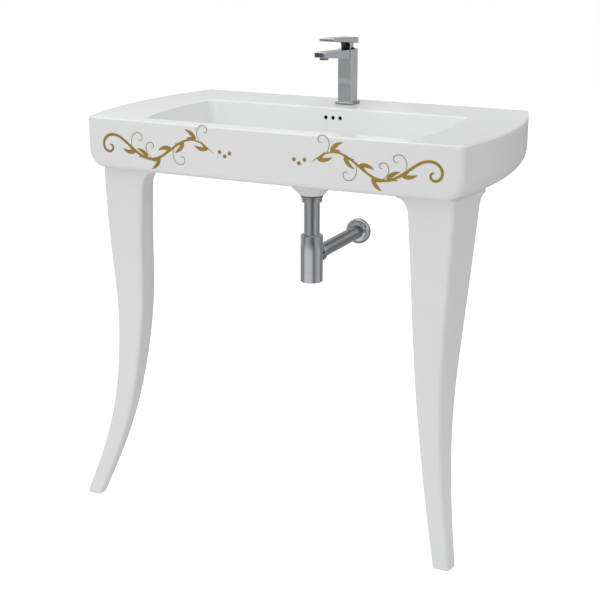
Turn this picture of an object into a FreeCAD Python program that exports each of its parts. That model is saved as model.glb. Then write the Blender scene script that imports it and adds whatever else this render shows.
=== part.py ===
"""Console washbasin on two ceramic sabre legs, with mixer tap, push waste and bottle trap.

Lengths are millimetres. The floor is z = 0, x = 0 is the plane of symmetry, and the
front of the basin faces -y. Distances "from the wall" are measured towards -y from the
wall plane, which every piece takes from wall_plane below.
"""
import FreeCAD, Part
import math
import os

import Sketcher

Vector = FreeCAD.Vector

doc = FreeCAD.newDocument("console_basin")
sheet = doc.addObject("Spreadsheet::Sheet", "Sizes")

# alias, value, what it measures
DRIVING_SIZES = [
    # basin
    ("rim_height", 860, "floor to the top of the rim"),
    ("overall_width", 900, "width at the widest point of the bowed sides"),
    ("basin_depth", 505, "wall to the middle of the front face"),
    ("apron_height", 109, "height of the basin's outer walls"),
    ("side_bow_radius", 850, "plan radius of each bowed side"),
    ("widest_from_front", 221, "front face to the widest point"),
    ("front_bow_radius", 9000, "plan radius of the slightly bowed front"),
    ("side_underside_radius", 40, "rounding under each bowed side"),
    ("front_edge_radius", 12, "rounding all round the front face"),
    ("back_corner_radius", 6, "vertical corners at the wall"),
    ("rim_edge_radius", 3.5, "outer edge of the rim"),
    ("wall_thickness", 14, "thickness of the outer walls"),
    ("deck_thickness", 16, "thickness of the top around the bowl"),
    ("underside_ledge", 44, "width of the ledge under each side"),
    ("ledge_thickness", 14, "thickness of the ledge and leg seats"),
    ("side_deck", 125, "width of the deck beside the bowl"),
    ("back_deck", 153, "wall to the bowl's back edge"),
    ("front_deck", 45, "front face to the bowl's front edge"),
    ("bowl_clearance", 8, "apron's bottom up to the foot of the bowl's shell"),
    ("bowl_wall_slope", 18, "how far the walls lean in over that depth"),
    ("bowl_fall", 14, "fall of the bowl's floor to the waste"),
    ("bowl_shell", 12, "thickness of the bowl"),
    ("bowl_corner_radius", 18, "corners of the bowl and foot of its walls"),
    ("bowl_rim_radius", 5, "rounding of the bowl's edge"),
    ("waste_behind_middle", 40.5, "middle of the bowl back to the waste's axis"),
    ("waste_flat", 48, "half width of the flat that the floor falls to"),
    ("boss_drop", 66, "apron's bottom to the underside of the waste boss"),
    ("boss_radius", 27, "underside of the waste boss"),
    ("boss_flare", 36, "how far the boss widens upwards"),
    ("waste_hole_radius", 23, "hole through the boss"),
    ("waste_recess_radius", 33, "recess for the waste's flange"),
    ("waste_recess_depth", 4, "depth of that recess"),
    ("overflow_hole_radius", 4.5, "each overflow hole"),
    ("overflow_spacing", 17.5, "overflow hole to overflow hole"),
    ("overflow_drop", 22, "rim to the overflow holes"),
    ("overflow_duct_width", 56, "inside width of the overflow duct"),
    ("overflow_duct_gap", 11, "inside depth of the overflow duct"),
    ("overflow_duct_back", 126, "wall to the overflow duct"),
    ("overflow_duct_wall", 8, "wall of the overflow duct"),
    ("tap_hole_radius", 17.5, "tap hole in the back deck"),
    ("tap_from_wall", 77, "wall to the tap's axis"),
    ("wall_bolt_spacing", 280, "wall bolt to wall bolt"),
    ("wall_bolt_radius", 7, "hole for a wall bolt"),
    ("wall_bolt_rise", 56, "apron's bottom to the wall bolts"),
    ("leg_seat_width", 188, "widest point of the sides to the inner end of a leg seat"),
    ("leg_seat_depth", 165, "front face to the back end of a leg seat"),
    # legs
    ("leg_gasket", 2, "rubber between leg and basin"),
    ("leg_cove_height", 39, "height of the flare"),
    ("leg_flare", 26, "how far the top flares inwards and back"),
    ("leg_flange", 4, "upright edge of the flare"),
    ("leg_splay", 0.18, "sideways run of the outer face for each mm of depth"),
    ("leg_edge_radius", 5, "edges of the front face"),
    ("leg_back_radius", 7, "outer back edge"),
    ("leg_bolt_inset", 98, "widest point of the sides to the leg's bolt"),
    ("leg_bolt_from_front", 73, "front face to the leg's bolt"),
    ("leg_bolt_radius", 5, "leg bolt"),
    ("leg_bolt_length", 66, "leg bolt"),
    ("leg_plug_radius", 8, "plug set into the leg"),
    ("leg_plug_length", 38, "plug set into the leg"),
    ("leg_washer_radius", 14, "washer on the leg seat"),
    ("leg_washer_thickness", 2, "washer on the leg seat"),
    ("leg_nut_height", 8, "nut of the leg bolt"),
    ("leg_nut_width", 17, "across the flats"),
    # mixer tap
    ("tap_seal", 1, "rubber under the tap's plate"),
    ("tap_plate", 4, "thickness of the tap's plate"),
    ("tap_plate_width", 46, "side of the tap's plate"),
    ("tap_plate_hole", 14.3, "hole in the middle of the plate"),
    ("tap_width", 36, "side of the tap's body"),
    ("tap_top", 123, "deck to the top of the tap's body"),
    ("tap_corner_radius", 5, "upright corners of the tap"),
    ("spigot_radius", 14, "spigot of the tap's body in its plate"),
    ("spigot_length", 3, "spigot of the tap's body in its plate"),
    ("spout_reach", 149, "tap's axis to the spout's tip"),
    ("spout_width", 28, "width of the spout"),
    ("spout_root", 20, "height of the spout at the body"),
    ("spout_tip", 12, "height of the spout at its tip"),
    ("spout_rise", 6, "how far the spout climbs to its tip"),
    ("spout_roof", 4, "metal above the aerator's chamber"),
    ("aerator_reach", 129, "tap's axis to the aerator"),
    ("aerator_radius", 9.5, "aerator's housing"),
    ("aerator_length", 11, "aerator's housing"),
    ("aerator_drop", 6, "how far the aerator stands out"),
    ("aerator_wall", 1.5, "wall of the aerator's housing"),
    ("tap_inlet_radius", 5, "threaded inlet of the tap"),
    ("tap_inlet_depth", 14, "threaded inlet of the tap"),
    ("tap_inlet_side", 7.5, "tap's axis to an inlet, sideways"),
    ("tap_inlet_front", 4, "tap's axis to an inlet, forwards"),
    ("tap_stud_radius", 4, "stud that clamps the tap"),
    ("tap_stud_back", 8.5, "tap's axis to the stud"),
    ("tap_stud_up", 14, "how far the stud enters the body"),
    ("tap_stud_length", 70, "stud that clamps the tap"),
    ("horseshoe_radius", 24, "washers under the deck"),
    ("horseshoe_gasket", 3, "rubber washer under the deck"),
    ("horseshoe_washer", 2.5, "steel washer under the deck"),
    ("stud_nut_radius", 7.5, "nut on the tap's stud"),
    ("stud_nut_height", 12, "nut on the tap's stud"),
    # cartridge and lever; heights are from the pivot of the lever
    ("pivot_height", 106, "deck to the lever's pivot"),
    ("cartridge_radius", 13, "cartridge"),
    ("cartridge_length", 42, "cartridge"),
    ("cartridge_top", 5, "pivot to the cartridge's top"),
    ("carrier_radius", 9, "turning carrier of the spindle"),
    ("carrier_depth", 8, "carrier below the pivot"),
    ("carrier_floor", 1.2, "floor of the carrier's slot"),
    ("spindle_width", 7, "square spindle"),
    ("spindle_tail", 5, "spindle below the pivot"),
    ("spindle_length", 38, "spindle above the pivot"),
    ("spindle_lean", 11, "degrees the spindle leans forwards at rest"),
    ("pivot_pin_radius", 1.5, "pin through carrier and spindle"),
    ("cartridge_nut_radius", 15, "nut over the cartridge"),
    ("cartridge_nut_height", 6, "nut over the cartridge"),
    ("dome_radius", 24, "spherical cover round the pivot"),
    ("dome_thickness", 2, "spherical cover"),
    ("dome_opening", 9.5, "opening of the cover"),
    ("lever_back", 18, "pivot to the lever's back end"),
    ("lever_reach", 115, "pivot to the lever's tip"),
    ("lever_under_back", 29, "pivot to the lever's underside, at its back"),
    ("lever_under_tip", 42.7, "pivot to the lever's underside, at its tip"),
    ("lever_top_back", 42, "pivot to the lever's top, at its back"),
    ("lever_top_tip", 49.6, "pivot to the lever's top, at its tip"),
    ("lever_edge_radius", 1.5, "edges of the lever"),
    ("neck_front", 13, "pivot to the front of the lever's neck"),
    ("neck_back", 6, "pivot to the back of the lever's neck"),
    ("neck_width", 22, "width of the lever's neck"),
    ("grub_radius", 2.5, "grub screw of the lever"),
    ("grub_length", 8, "grub screw of the lever"),
    ("grub_height", 34.5, "pivot to the grub screw"),
    ("grub_cap_radius", 3, "cap over the grub screw"),
    ("grub_cap_length", 4, "cap over the grub screw"),
    # push waste
    ("waste_flange_radius", 32, "flange in the bowl"),
    ("waste_flange_height", 2.8, "flange in the bowl"),
    ("waste_top_seal", 1.4, "rubber under the flange"),
    ("waste_barrel_radius", 21, "barrel of the waste"),
    ("waste_bore_radius", 18, "bore of the waste"),
    ("waste_barrel_end", 11.5, "boss's underside to the barrel's end"),
    ("waste_slot_height", 14, "overflow slot in the barrel"),
    ("waste_slot_width", 16, "overflow slot in the barrel"),
    ("waste_slot_rise", 24, "boss's underside to the slots' foot"),
    ("waste_seal", 2, "rubber under the boss"),
    ("waste_seal_radius", 26, "rubber under the boss"),
    ("backnut_height", 5, "nut of the waste"),
    ("backnut_radius", 24.5, "nut of the waste"),
    ("bridge_height", 4, "cross bar that holds the push fitting"),
    ("bridge_drop", 30, "bowl's floor to the cross bar"),
    ("bridge_hub_radius", 8, "hub of the cross bar"),
    ("push_radius", 6.5, "push fitting"),
    ("push_length", 26, "push fitting"),
    ("push_floor", 2, "floor of the push fitting's bore"),
    ("stem_radius", 4, "stem of the plug"),
    ("stem_length", 26, "stem of the plug"),
    ("plug_radius", 29.5, "plug"),
    ("plug_edge", 2.4, "plug's edge"),
    ("plug_crown", 2, "rise of the plug's crown"),
    ("plug_seal", 1.4, "rubber ring under the plug"),
    # bottle trap
    ("tail_radius", 17.75, "tail pipe"),
    ("tail_wall", 1.5, "tail pipe"),
    ("tail_drop", 42, "wall pipe's axis to the foot of the tail pipe"),
    ("tail_flange_radius", 20.6, "flange at the head of the tail pipe"),
    ("tail_flange", 1.3, "flange at the head of the tail pipe"),
    ("tail_seal", 1.2, "washer between waste and tail pipe"),
    ("tail_nut_radius", 23, "nut of the tail pipe"),
    ("tail_nut_shoulder", 2, "shoulder of that nut"),
    ("trap_rise", 49, "wall pipe's axis to the top of the trap"),
    ("trap_drop", 57, "wall pipe's axis to the underside of the trap"),
    ("trap_radius", 25, "trap"),
    ("trap_wall", 2, "trap"),
    ("collar_height", 14, "nut on top of the trap"),
    ("collar_roof", 3, "roof of that nut"),
    ("trap_seal_height", 4, "ring that grips the tail pipe"),
    ("bottle_split_drop", 31, "wall pipe's axis to the joint of the bottle"),
    ("bottle_neck", 8, "neck of the bottle inside the trap"),
    ("bottle_floor", 3, "bottom of the bottle"),
    ("bottle_ring", 2, "ring that seals the bottle"),
    ("outlet_drop", 206, "apron's bottom to the wall pipe's axis"),
    ("outlet_stub_radius", 17.5, "stub of the trap"),
    ("outlet_stub_length", 12, "stub of the trap, past its wall"),
    ("outlet_nut_radius", 21, "nut on the stub"),
    ("outlet_nut_length", 14, "nut on the stub"),
    ("outlet_nut_shoulder", 2.5, "shoulder of that nut"),
    ("outlet_seal", 2.5, "ring that grips the wall pipe"),
    ("pipe_radius", 16, "wall pipe"),
    ("pipe_wall", 1.3, "wall pipe"),
    ("pipe_stub", 30, "wall pipe behind the wall plane"),
    ("pipe_mark_width", 1, "groove that marks where the pipe enters the wall"),
    ("pipe_mark_depth", 0.4, "groove that marks where the pipe enters the wall"),
    ("escutcheon_radius", 30.5, "rose at the wall"),
    ("escutcheon_rim", 6, "upright rim of the rose"),
    ("escutcheon_height", 18, "depth of the rose"),
    ("escutcheon_wall", 1.2, "sheet of the rose"),
    # clearances
    ("thread_gap", 0.1, "radial gap of screwed and pushed fits"),
    ("running_gap", 0.05, "radial gap of pins and spindles that turn"),
    ("free_gap", 0.3, "gap between pieces that pass each other"),
]

# name; floor to section; widest point of the basin's sides to its inner side and to its
# outer side; front of the basin back to its front face; depth; inner back radius
LEG_SECTIONS = [
    ("foot", 0, 47, 12, -38, 33, 14),
    ("ankle", 100, 77, 37, -4, 40, 17),
    ("shin", 200, 100, 55, 19, 49, 20),
    ("knee", 325, 119, 65, 32, 64, 28),
    ("thigh", 450, 131, 64.5, 36, 82, 45),
    ("hip", 575, 137, 57, 31, 95, 62),
    ("top", None, 145.5, 50, 30, 106, 85),
]


class Size:
    """A length that carries its number and the sheet expression that gives it."""

    def __init__(self, number, text):
        self.number = number
        self.text = text

    def _with(self, sign, other, number):
        return Size(number, f"({self.text} {sign} {as_size(other).text})")

    def __add__(self, other):
        return self._with("+", other, self.number + as_size(other).number)

    def __sub__(self, other):
        return self._with("-", other, self.number - as_size(other).number)

    def __mul__(self, other):
        return self._with("*", other, self.number * as_size(other).number)

    def __truediv__(self, other):
        return self._with("/", other, self.number / as_size(other).number)

    def __neg__(self):
        return Size(-self.number, f"(0 - {self.text})")


def as_size(value):
    """A plain number as a Size, and a Size as it is."""
    return value if isinstance(value, Size) else Size(value, str(value))


class Sizes:
    """The sheet's cells, each as a Size under its alias."""

    def add(self, row, alias, value, note):
        sheet.set(f"A{row}", note)
        sheet.set(f"B{row}", str(value))
        sheet.setAlias(f"B{row}", alias)
        setattr(self, alias, Size(float(value), f"Sizes.{alias}"))


S = Sizes()
for row, (alias, value, note) in enumerate(DRIVING_SIZES, start=1):
    S.add(row, alias, value, note)
row = len(DRIVING_SIZES)
for name, *numbers in LEG_SECTIONS:
    columns = ("height", "inner", "outer", "front", "depth", "round")
    for column, number in zip(columns, numbers):
        if number is not None:
            row += 1
            S.add(row, f"leg_{name}_{column}", number, f"{column} of the leg's {name} section")
doc.recompute()

# heights and places that several pieces share
wall_plane = (S.basin_depth - S.leg_foot_front - S.pipe_stub) / 2
basin_bottom = S.rim_height - S.apron_height
bowl_front = S.basin_depth - S.front_deck
waste_from_wall = (S.back_deck + bowl_front) / 2 - S.waste_behind_middle
bowl_wall_depth = S.apron_height - S.bowl_shell - S.bowl_clearance
bowl_floor = S.rim_height - bowl_wall_depth - S.bowl_fall
boss_bottom = basin_bottom - S.boss_drop
leg_height = basin_bottom - S.leg_gasket
leg_sweep_height = leg_height - S.leg_flange - S.leg_cove_height
leg_bolt_x = S.overall_width / 2 - S.leg_bolt_inset
leg_bolt_y = S.leg_bolt_from_front - S.basin_depth
leg_seat_back = S.basin_depth - S.leg_seat_depth
outlet_height = basin_bottom - S.outlet_drop
waste_y = wall_plane - waste_from_wall
tap_y = wall_plane - S.tap_from_wall
pivot_z = S.rim_height + S.pivot_height

pieces = []


# ---------------------------------------------------------------- sketch helpers

def bind(thing, prop, value):
    thing.setExpression(prop, as_size(value).text)


def new_body(label, x=0, y=0, z=0):
    """An empty body whose own origin sits at (x, y, z) of the whole."""
    body = doc.addObject("PartDesign::Body", label)
    body.Label = label
    for axis, value in (("x", x), ("y", y), ("z", z)):
        bind(body, f"Placement.Base.{axis}", value)
    pieces.append(body)
    return body


def new_sketch(body, name, plane="XY_Plane", offset=0):
    sketch = body.newObject("Sketcher::SketchObject", name)
    support = next(item for item in body.Origin.OriginFeatures if item.Role == plane)
    sketch.AttachmentSupport = [(support, "")]
    sketch.MapMode = "FlatFace"
    bind(sketch, "AttachmentOffset.Base.z", offset)
    return sketch


def point_of(x, y):
    return Vector(as_size(x).number, as_size(y).number, 0)


def pin_point(sketch, geometry, vertex, x, y):
    """Dimension one vertex from the sketch's origin; 0 puts it on the axis."""
    for kind, axis, value in (("DistanceX", -2, x), ("DistanceY", -1, y)):
        if not isinstance(value, Size) and value == 0:
            sketch.addConstraint(Sketcher.Constraint("PointOnObject", geometry, vertex, axis))
            continue
        value = as_size(value)
        index = sketch.addConstraint(
            Sketcher.Constraint(kind, -1, 1, geometry, vertex, value.number))
        sketch.setExpression(f"Constraints[{index}]", value.text)


def set_radius(sketch, geometry, radius):
    radius = as_size(radius)
    index = sketch.addConstraint(Sketcher.Constraint("Radius", geometry, radius.number))
    sketch.setExpression(f"Constraints[{index}]", radius.text)


def draw_polygon(sketch, corners):
    """Closed outline through corners, each an (x, y) pair of sizes."""
    points = [point_of(*corner) for corner in corners]
    lines = []
    for start, end in zip(points, points[1:] + points[:1]):
        lines.append(sketch.addGeometry(Part.LineSegment(start, end)))
    for line, following in zip(lines, lines[1:] + lines[:1]):
        sketch.addConstraint(Sketcher.Constraint("Coincident", line, 2, following, 1))
    for line, corner in zip(lines, corners):
        pin_point(sketch, line, 1, *corner)


def draw_box(sketch, low_x, high_x, low_y, high_y):
    draw_polygon(sketch, [(low_x, low_y), (high_x, low_y), (high_x, high_y), (low_x, high_y)])


def draw_circle(sketch, x, y, radius):
    circle = sketch.addGeometry(
        Part.Circle(point_of(x, y), Vector(0, 0, 1), as_size(radius).number))
    pin_point(sketch, circle, 3, x, y)
    set_radius(sketch, circle, radius)


def draw_rounded(sketch, corners, radii):
    """Closed outline of straight sides whose corners are rounded by tangent arcs.

    Each corner is held by a construction point on both of its sides.
    """
    points = [point_of(*corner) for corner in corners]
    count = len(points)
    cuts = []
    for index, point in enumerate(points):
        before = (points[index - 1] - point).normalize()
        after = (points[(index + 1) % count] - point).normalize()
        radius = as_size(radii[index]).number
        half_angle = before.getAngle(after) / 2
        reach = radius / math.tan(half_angle)
        middle = (before + after).normalize()
        centre = point + middle * (radius / math.sin(half_angle))
        cuts.append((point + before * reach, centre - middle * radius, point + after * reach))
    sides = []
    for index in range(count):
        start = cuts[index][2]
        end = cuts[(index + 1) % count][0]
        sides.append(sketch.addGeometry(Part.LineSegment(start, end)))
    for index, (start, middle, end) in enumerate(cuts):
        arc = sketch.addGeometry(Part.Arc(start, middle, end))
        # an arc's first vertex is the one met first when going anticlockwise
        sketch.addConstraint(Sketcher.Constraint("Tangent", sides[index - 1], 2, arc, 1))
        sketch.addConstraint(Sketcher.Constraint("Tangent", arc, 2, sides[index], 1))
        set_radius(sketch, arc, radii[index])
        corner = sketch.addGeometry(Part.Point(points[index]), True)
        sketch.addConstraint(Sketcher.Constraint("PointOnObject", corner, 1, sides[index - 1]))
        sketch.addConstraint(Sketcher.Constraint("PointOnObject", corner, 1, sides[index]))
        pin_point(sketch, corner, 1, *corners[index])


def draw_square(sketch, width, radius):
    """Square round the origin with rounded corners, anticlockwise."""
    half = width / 2
    corners = [(-half, -half), (half, -half), (half, half), (-half, half)]
    draw_rounded(sketch, corners, [radius] * 4)


def arc_between(centre, radius, start, end):
    """Arc round centre, anticlockwise from start to end."""
    first = math.atan2(start.y - centre.y, start.x - centre.x)
    last = math.atan2(end.y - centre.y, end.x - centre.x)
    if last < first:
        last += 2 * math.pi
    return Part.ArcOfCircle(Part.Circle(centre, Vector(0, 0, 1), radius), first, last)


def draw_bowed_plan(sketch, inset, front, back, front_bow=None):
    """Plan outline with bowed sides, inset from the basin's own sides.

    front and back are distances from the wall. The front is straight, or an arc of
    radius front_bow whose middle lies at front.
    """
    radius = S.side_bow_radius - inset
    centre_x = S.overall_width / 2 - S.side_bow_radius
    centre_y = S.widest_from_front - S.basin_depth
    right = point_of(centre_x, centre_y)
    left = Vector(-right.x, right.y, 0)

    def side_point(from_wall):
        rise = -as_size(from_wall).number - right.y
        return Vector(right.x + math.sqrt(radius.number ** 2 - rise ** 2), right.y + rise, 0)

    front_edge = as_size(front).number
    if front_bow is not None:
        half = side_point(front_edge).x
        bow = front_bow.number
        front_edge -= bow - math.sqrt(bow ** 2 - half ** 2)
    front_right = side_point(front_edge)
    back_right = side_point(back)
    front_left = Vector(-front_right.x, front_right.y, 0)
    back_left = Vector(-back_right.x, back_right.y, 0)

    right_side = sketch.addGeometry(arc_between(right, radius.number, front_right, back_right))
    back_side = sketch.addGeometry(Part.LineSegment(back_right, back_left))
    left_side = sketch.addGeometry(arc_between(left, radius.number, back_left, front_left))
    if front_bow is None:
        front_side = sketch.addGeometry(Part.LineSegment(front_left, front_right))
        sketch.addConstraint(Sketcher.Constraint("Horizontal", front_side))
        index = sketch.addConstraint(
            Sketcher.Constraint("DistanceY", -1, 1, front_side, 1, front_left.y))
        sketch.setExpression(f"Constraints[{index}]", (-as_size(front)).text)
    else:
        middle = Vector(0, front_bow.number - as_size(front).number, 0)
        front_side = sketch.addGeometry(
            arc_between(middle, front_bow.number, front_left, front_right))
        pin_point(sketch, front_side, 3, 0, front_bow - front)
        set_radius(sketch, front_side, front_bow)
    sides = (right_side, back_side, left_side, front_side)
    for side, following in zip(sides, sides[1:] + sides[:1]):
        sketch.addConstraint(Sketcher.Constraint("Coincident", side, 2, following, 1))
    for side, x in ((right_side, centre_x), (left_side, -centre_x)):
        pin_point(sketch, side, 3, x, centre_y)
        set_radius(sketch, side, radius)
    sketch.addConstraint(Sketcher.Constraint("Horizontal", back_side))
    if isinstance(back, Size):
        index = sketch.addConstraint(
            Sketcher.Constraint("DistanceY", -1, 1, back_side, 1, -back.number))
        sketch.setExpression(f"Constraints[{index}]", (-back).text)
    else:
        sketch.addConstraint(Sketcher.Constraint("PointOnObject", back_side, 1, -1))


# ---------------------------------------------------------------- feature helpers

def extrude(body, kind, sketch, length, both=False, downwards=False):
    """A Pad or Pocket of sketch by length, on both sides of it, or against its normal."""
    feature = body.newObject(f"PartDesign::{kind}", f"{sketch.Name}_{kind.lower()}")
    feature.Profile = sketch
    feature.Midplane = both
    feature.Reversed = downwards
    bind(feature, "Length", length)
    sketch.Visibility = False
    return feature


def spin(body, kind, sketch, axis="V_Axis"):
    """A full Revolution or Groove of sketch round one of its own axes."""
    feature = body.newObject(f"PartDesign::{kind}", f"{sketch.Name}_{kind.lower()}")
    feature.Profile = sketch
    feature.ReferenceAxis = (sketch, [axis])
    feature.Angle = 360
    return feature


def turned(label, outline, x=0, y=0, z=0):
    """A piece turned round its own z axis; outline holds (radius, height) pairs."""
    body = new_body(label, x, y, z)
    sketch = new_sketch(body, f"{label}_outline", "XZ_Plane")
    draw_polygon(sketch, outline)
    spin(body, "Revolution", sketch)
    return body


def ring(label, inner, outer, low, high, x=0, y=0, z=0):
    outline = [(inner, low), (outer, low), (outer, high), (inner, high)]
    return turned(label, outline, x, y, z)


def edge_names(feature, wanted):
    """Names of the edges of feature for which wanted(edge) is true."""
    doc.recompute()
    edges = feature.Shape.Edges
    return [f"Edge{number}" for number, edge in enumerate(edges, start=1) if wanted(edge)]


def round_edges(body, feature, wanted, radius, name):
    """Fillet the wanted edges of feature."""
    names = edge_names(feature, wanted)
    fillet = body.newObject("PartDesign::Fillet", name)
    fillet.Base = (feature, names)
    bind(fillet, "Radius", radius)
    return fillet


def bevel_edges(body, feature, wanted, size, name):
    """Chamfer the wanted edges of feature."""
    names = edge_names(feature, wanted)
    chamfer = body.newObject("PartDesign::Chamfer", name)
    chamfer.Base = (feature, names)
    bind(chamfer, "Size", size)
    return chamfer


def level_at(edge, height):
    box = edge.BoundBox
    return abs(box.ZMin - height) < 0.01 and abs(box.ZMax - height) < 0.01


# ---------------------------------------------------------------- basin

def make_basin():
    """Fired clay basin: bowed block, hollowed from below, with the bowl let into it."""
    body = new_body("basin", y=wall_plane, z=basin_bottom)
    overrun = S.side_underside_radius * 2

    # the bowed sides run past the front and the wall, so that their underside rounding
    # ends cleanly where the real outline cuts it
    sketch = new_sketch(body, "long_block")
    draw_bowed_plan(sketch, 0, S.basin_depth + overrun, -overrun)
    block = extrude(body, "Pad", sketch, S.apron_height)
    soft = round_edges(
        body, block,
        lambda edge: level_at(edge, 0) and abs(edge.CenterOfMass.x) > S.overall_width.number / 3,
        S.side_underside_radius, "underside_rounding")

    sketch = new_sketch(body, "plan_cut", offset=S.apron_height)
    half = S.overall_width
    draw_box(sketch, -half, half, -S.basin_depth * 2, S.basin_depth)
    draw_bowed_plan(sketch, 0, S.basin_depth, 0, S.front_bow_radius)
    trimmed = extrude(body, "Pocket", sketch, S.apron_height)
    doc.recompute()
    if trimmed.Shape.Volume >= soft.Shape.Volume:
        raise ValueError("the plan outline cut nothing")

    def round_the_front(edge):
        box = edge.BoundBox
        at_front = box.YMax < -S.basin_depth.number * 0.9
        return at_front and not level_at(edge, S.apron_height.number)

    front = round_edges(body, trimmed, round_the_front, S.front_edge_radius, "front_rounding")
    corners = round_edges(
        body, front, lambda edge: edge.BoundBox.YMin > -0.01 and edge.BoundBox.YMax < 0.01
        and not level_at(edge, 0) and not level_at(edge, S.apron_height.number),
        S.back_corner_radius, "back_rounding")
    rim = round_edges(
        body, corners, lambda edge: level_at(edge, S.apron_height.number),
        S.rim_edge_radius, "rim_rounding")

    hollow_underside(body)
    add_bowl_shell(body)
    add_duct(body)
    cut_bowl(body)
    bore_duct(body)
    cut_fixing_holes(body)
    return body


def hollow_underside(body):
    """Open the block from below, leaving walls, deck, side ledges and leg seats."""
    inner_front = S.basin_depth - S.wall_thickness
    sketch = new_sketch(body, "rear_opening")
    draw_bowed_plan(sketch, S.underside_ledge, leg_seat_back, S.wall_thickness)
    extrude(body, "Pocket", sketch, S.ledge_thickness, downwards=True)

    sketch = new_sketch(body, "front_opening")
    seat = S.overall_width / 2 - S.leg_seat_width
    draw_box(sketch, -seat, seat, -inner_front + S.front_edge_radius, -leg_seat_back)
    extrude(body, "Pocket", sketch, S.ledge_thickness, downwards=True)

    sketch = new_sketch(body, "cavity", offset=S.ledge_thickness)
    draw_bowed_plan(sketch, S.wall_thickness, inner_front, S.wall_thickness,
                    S.front_bow_radius)
    height = S.apron_height - S.deck_thickness - S.ledge_thickness
    cavity = extrude(body, "Pocket", sketch, height, downwards=True)
    side = S.overall_width.number / 2 - S.wall_thickness.number - 1
    round_edges(
        body, cavity, lambda edge: level_at(edge, S.ledge_thickness.number)
        and max(-edge.BoundBox.XMin, edge.BoundBox.XMax) > side,
        S.side_underside_radius - S.wall_thickness, "cavity_rounding")


def bowl_sections(body, name, grow, top):
    """The bowl's three plan sections, grown outwards and down by grow."""
    floor_edge = S.apron_height - bowl_wall_depth
    lean = S.bowl_wall_slope
    flat = S.waste_flat + grow
    widest = S.overall_width / 2
    levels = [
        (top, S.side_deck - grow, bowl_front + grow, S.back_deck - grow),
        (floor_edge - grow, S.side_deck + lean - grow, bowl_front - lean + grow,
         S.back_deck + lean - grow),
        (floor_edge - S.bowl_fall - grow, widest - flat, waste_from_wall + flat,
         waste_from_wall - flat),
    ]
    sketches = []
    for number, (height, inset, front, back) in enumerate(levels, start=1):
        sketch = new_sketch(body, f"{name}_section_{number}", offset=height)
        draw_bowed_plan(sketch, inset, front, back)
        sketches.append(sketch)
    return sketches


def loft(body, kind, sketches, ruled, name):
    feature = body.newObject(f"PartDesign::{kind}", name)
    feature.Profile = sketches[0]
    feature.Sections = sketches[1:]
    feature.Ruled = ruled
    return feature


def add_bowl_shell(body):
    """The bowl's outside, seen from below, and the boss that the waste passes through."""
    top = S.apron_height - S.deck_thickness / 2
    loft(body, "AdditiveLoft", bowl_sections(body, "shell", S.bowl_shell, top),
         True, "bowl_shell")
    sketch = new_sketch(body, "boss", "XZ_Plane", offset=waste_from_wall)
    shoulder = S.boss_flare - S.boss_drop
    widest = S.boss_radius + S.boss_flare
    floor = S.apron_height - bowl_wall_depth - S.bowl_fall
    draw_polygon(sketch, [
        (0, -S.boss_drop), (S.boss_radius, -S.boss_drop), (widest, shoulder),
        (widest, floor), (0, floor)])
    spin(body, "Revolution", sketch)


def cut_bowl(body):
    """The bowl itself, its rounded corners and edge, and the recess of the waste."""
    sections = bowl_sections(body, "bowl", Size(0, "0"), S.apron_height)
    bowl = loft(body, "SubtractiveLoft", sections, True, "bowl")
    doc.recompute()
    corners = [vertex.Point for section in sections for vertex in section.Shape.Vertexes]
    top = S.apron_height.number
    bottom = sections[-1].AttachmentOffset.Base.z

    def bowl_edge(edge):
        ends = [vertex.Point for vertex in edge.Vertexes]
        on_bowl = all(min(end.distanceToPoint(corner) for corner in corners) < 0.01
                      for end in ends)
        return on_bowl and not level_at(edge, top) and not level_at(edge, bottom)

    def bowl_rim(edge):
        box = edge.BoundBox
        return (level_at(edge, top) and box.YMin > -bowl_front.number - 1
                and box.YMax < 1 - S.back_deck.number)

    soft = round_edges(body, bowl, bowl_edge, S.bowl_corner_radius, "bowl_corners")
    round_edges(body, soft, bowl_rim, S.bowl_rim_radius, "bowl_rim")

    floor_level = S.apron_height - bowl_wall_depth - S.bowl_fall
    recess = floor_level - S.waste_recess_depth
    sketch = new_sketch(body, "waste_hole", "XZ_Plane", offset=waste_from_wall)
    draw_polygon(sketch, [
        (0, -S.boss_drop * 2), (S.waste_hole_radius, -S.boss_drop * 2),
        (S.waste_hole_radius, recess), (S.waste_recess_radius, recess),
        (S.waste_recess_radius, S.apron_height), (0, S.apron_height)])
    spin(body, "Groove", sketch)


def add_duct(body):
    """Blocks behind and below the bowl that the overflow duct runs through."""
    wall = S.overflow_duct_wall
    near = S.overflow_duct_back - wall
    foot = S.waste_slot_rise - S.boss_drop - wall
    sketch = new_sketch(body, "duct_upright", offset=foot)
    half = S.overflow_duct_width / 2 + wall
    draw_box(sketch, -half, half, -(S.back_deck + S.bowl_wall_slope), -near)
    extrude(body, "Pad", sketch, S.apron_height - S.deck_thickness / 2 - foot)
    sketch = new_sketch(body, "duct_foot", offset=foot)
    half = S.waste_slot_width / 2 + wall
    draw_box(sketch, -half, half, -(waste_from_wall - S.waste_hole_radius - wall), -near)
    extrude(body, "Pad", sketch, S.apron_height - bowl_wall_depth - foot)


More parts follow.
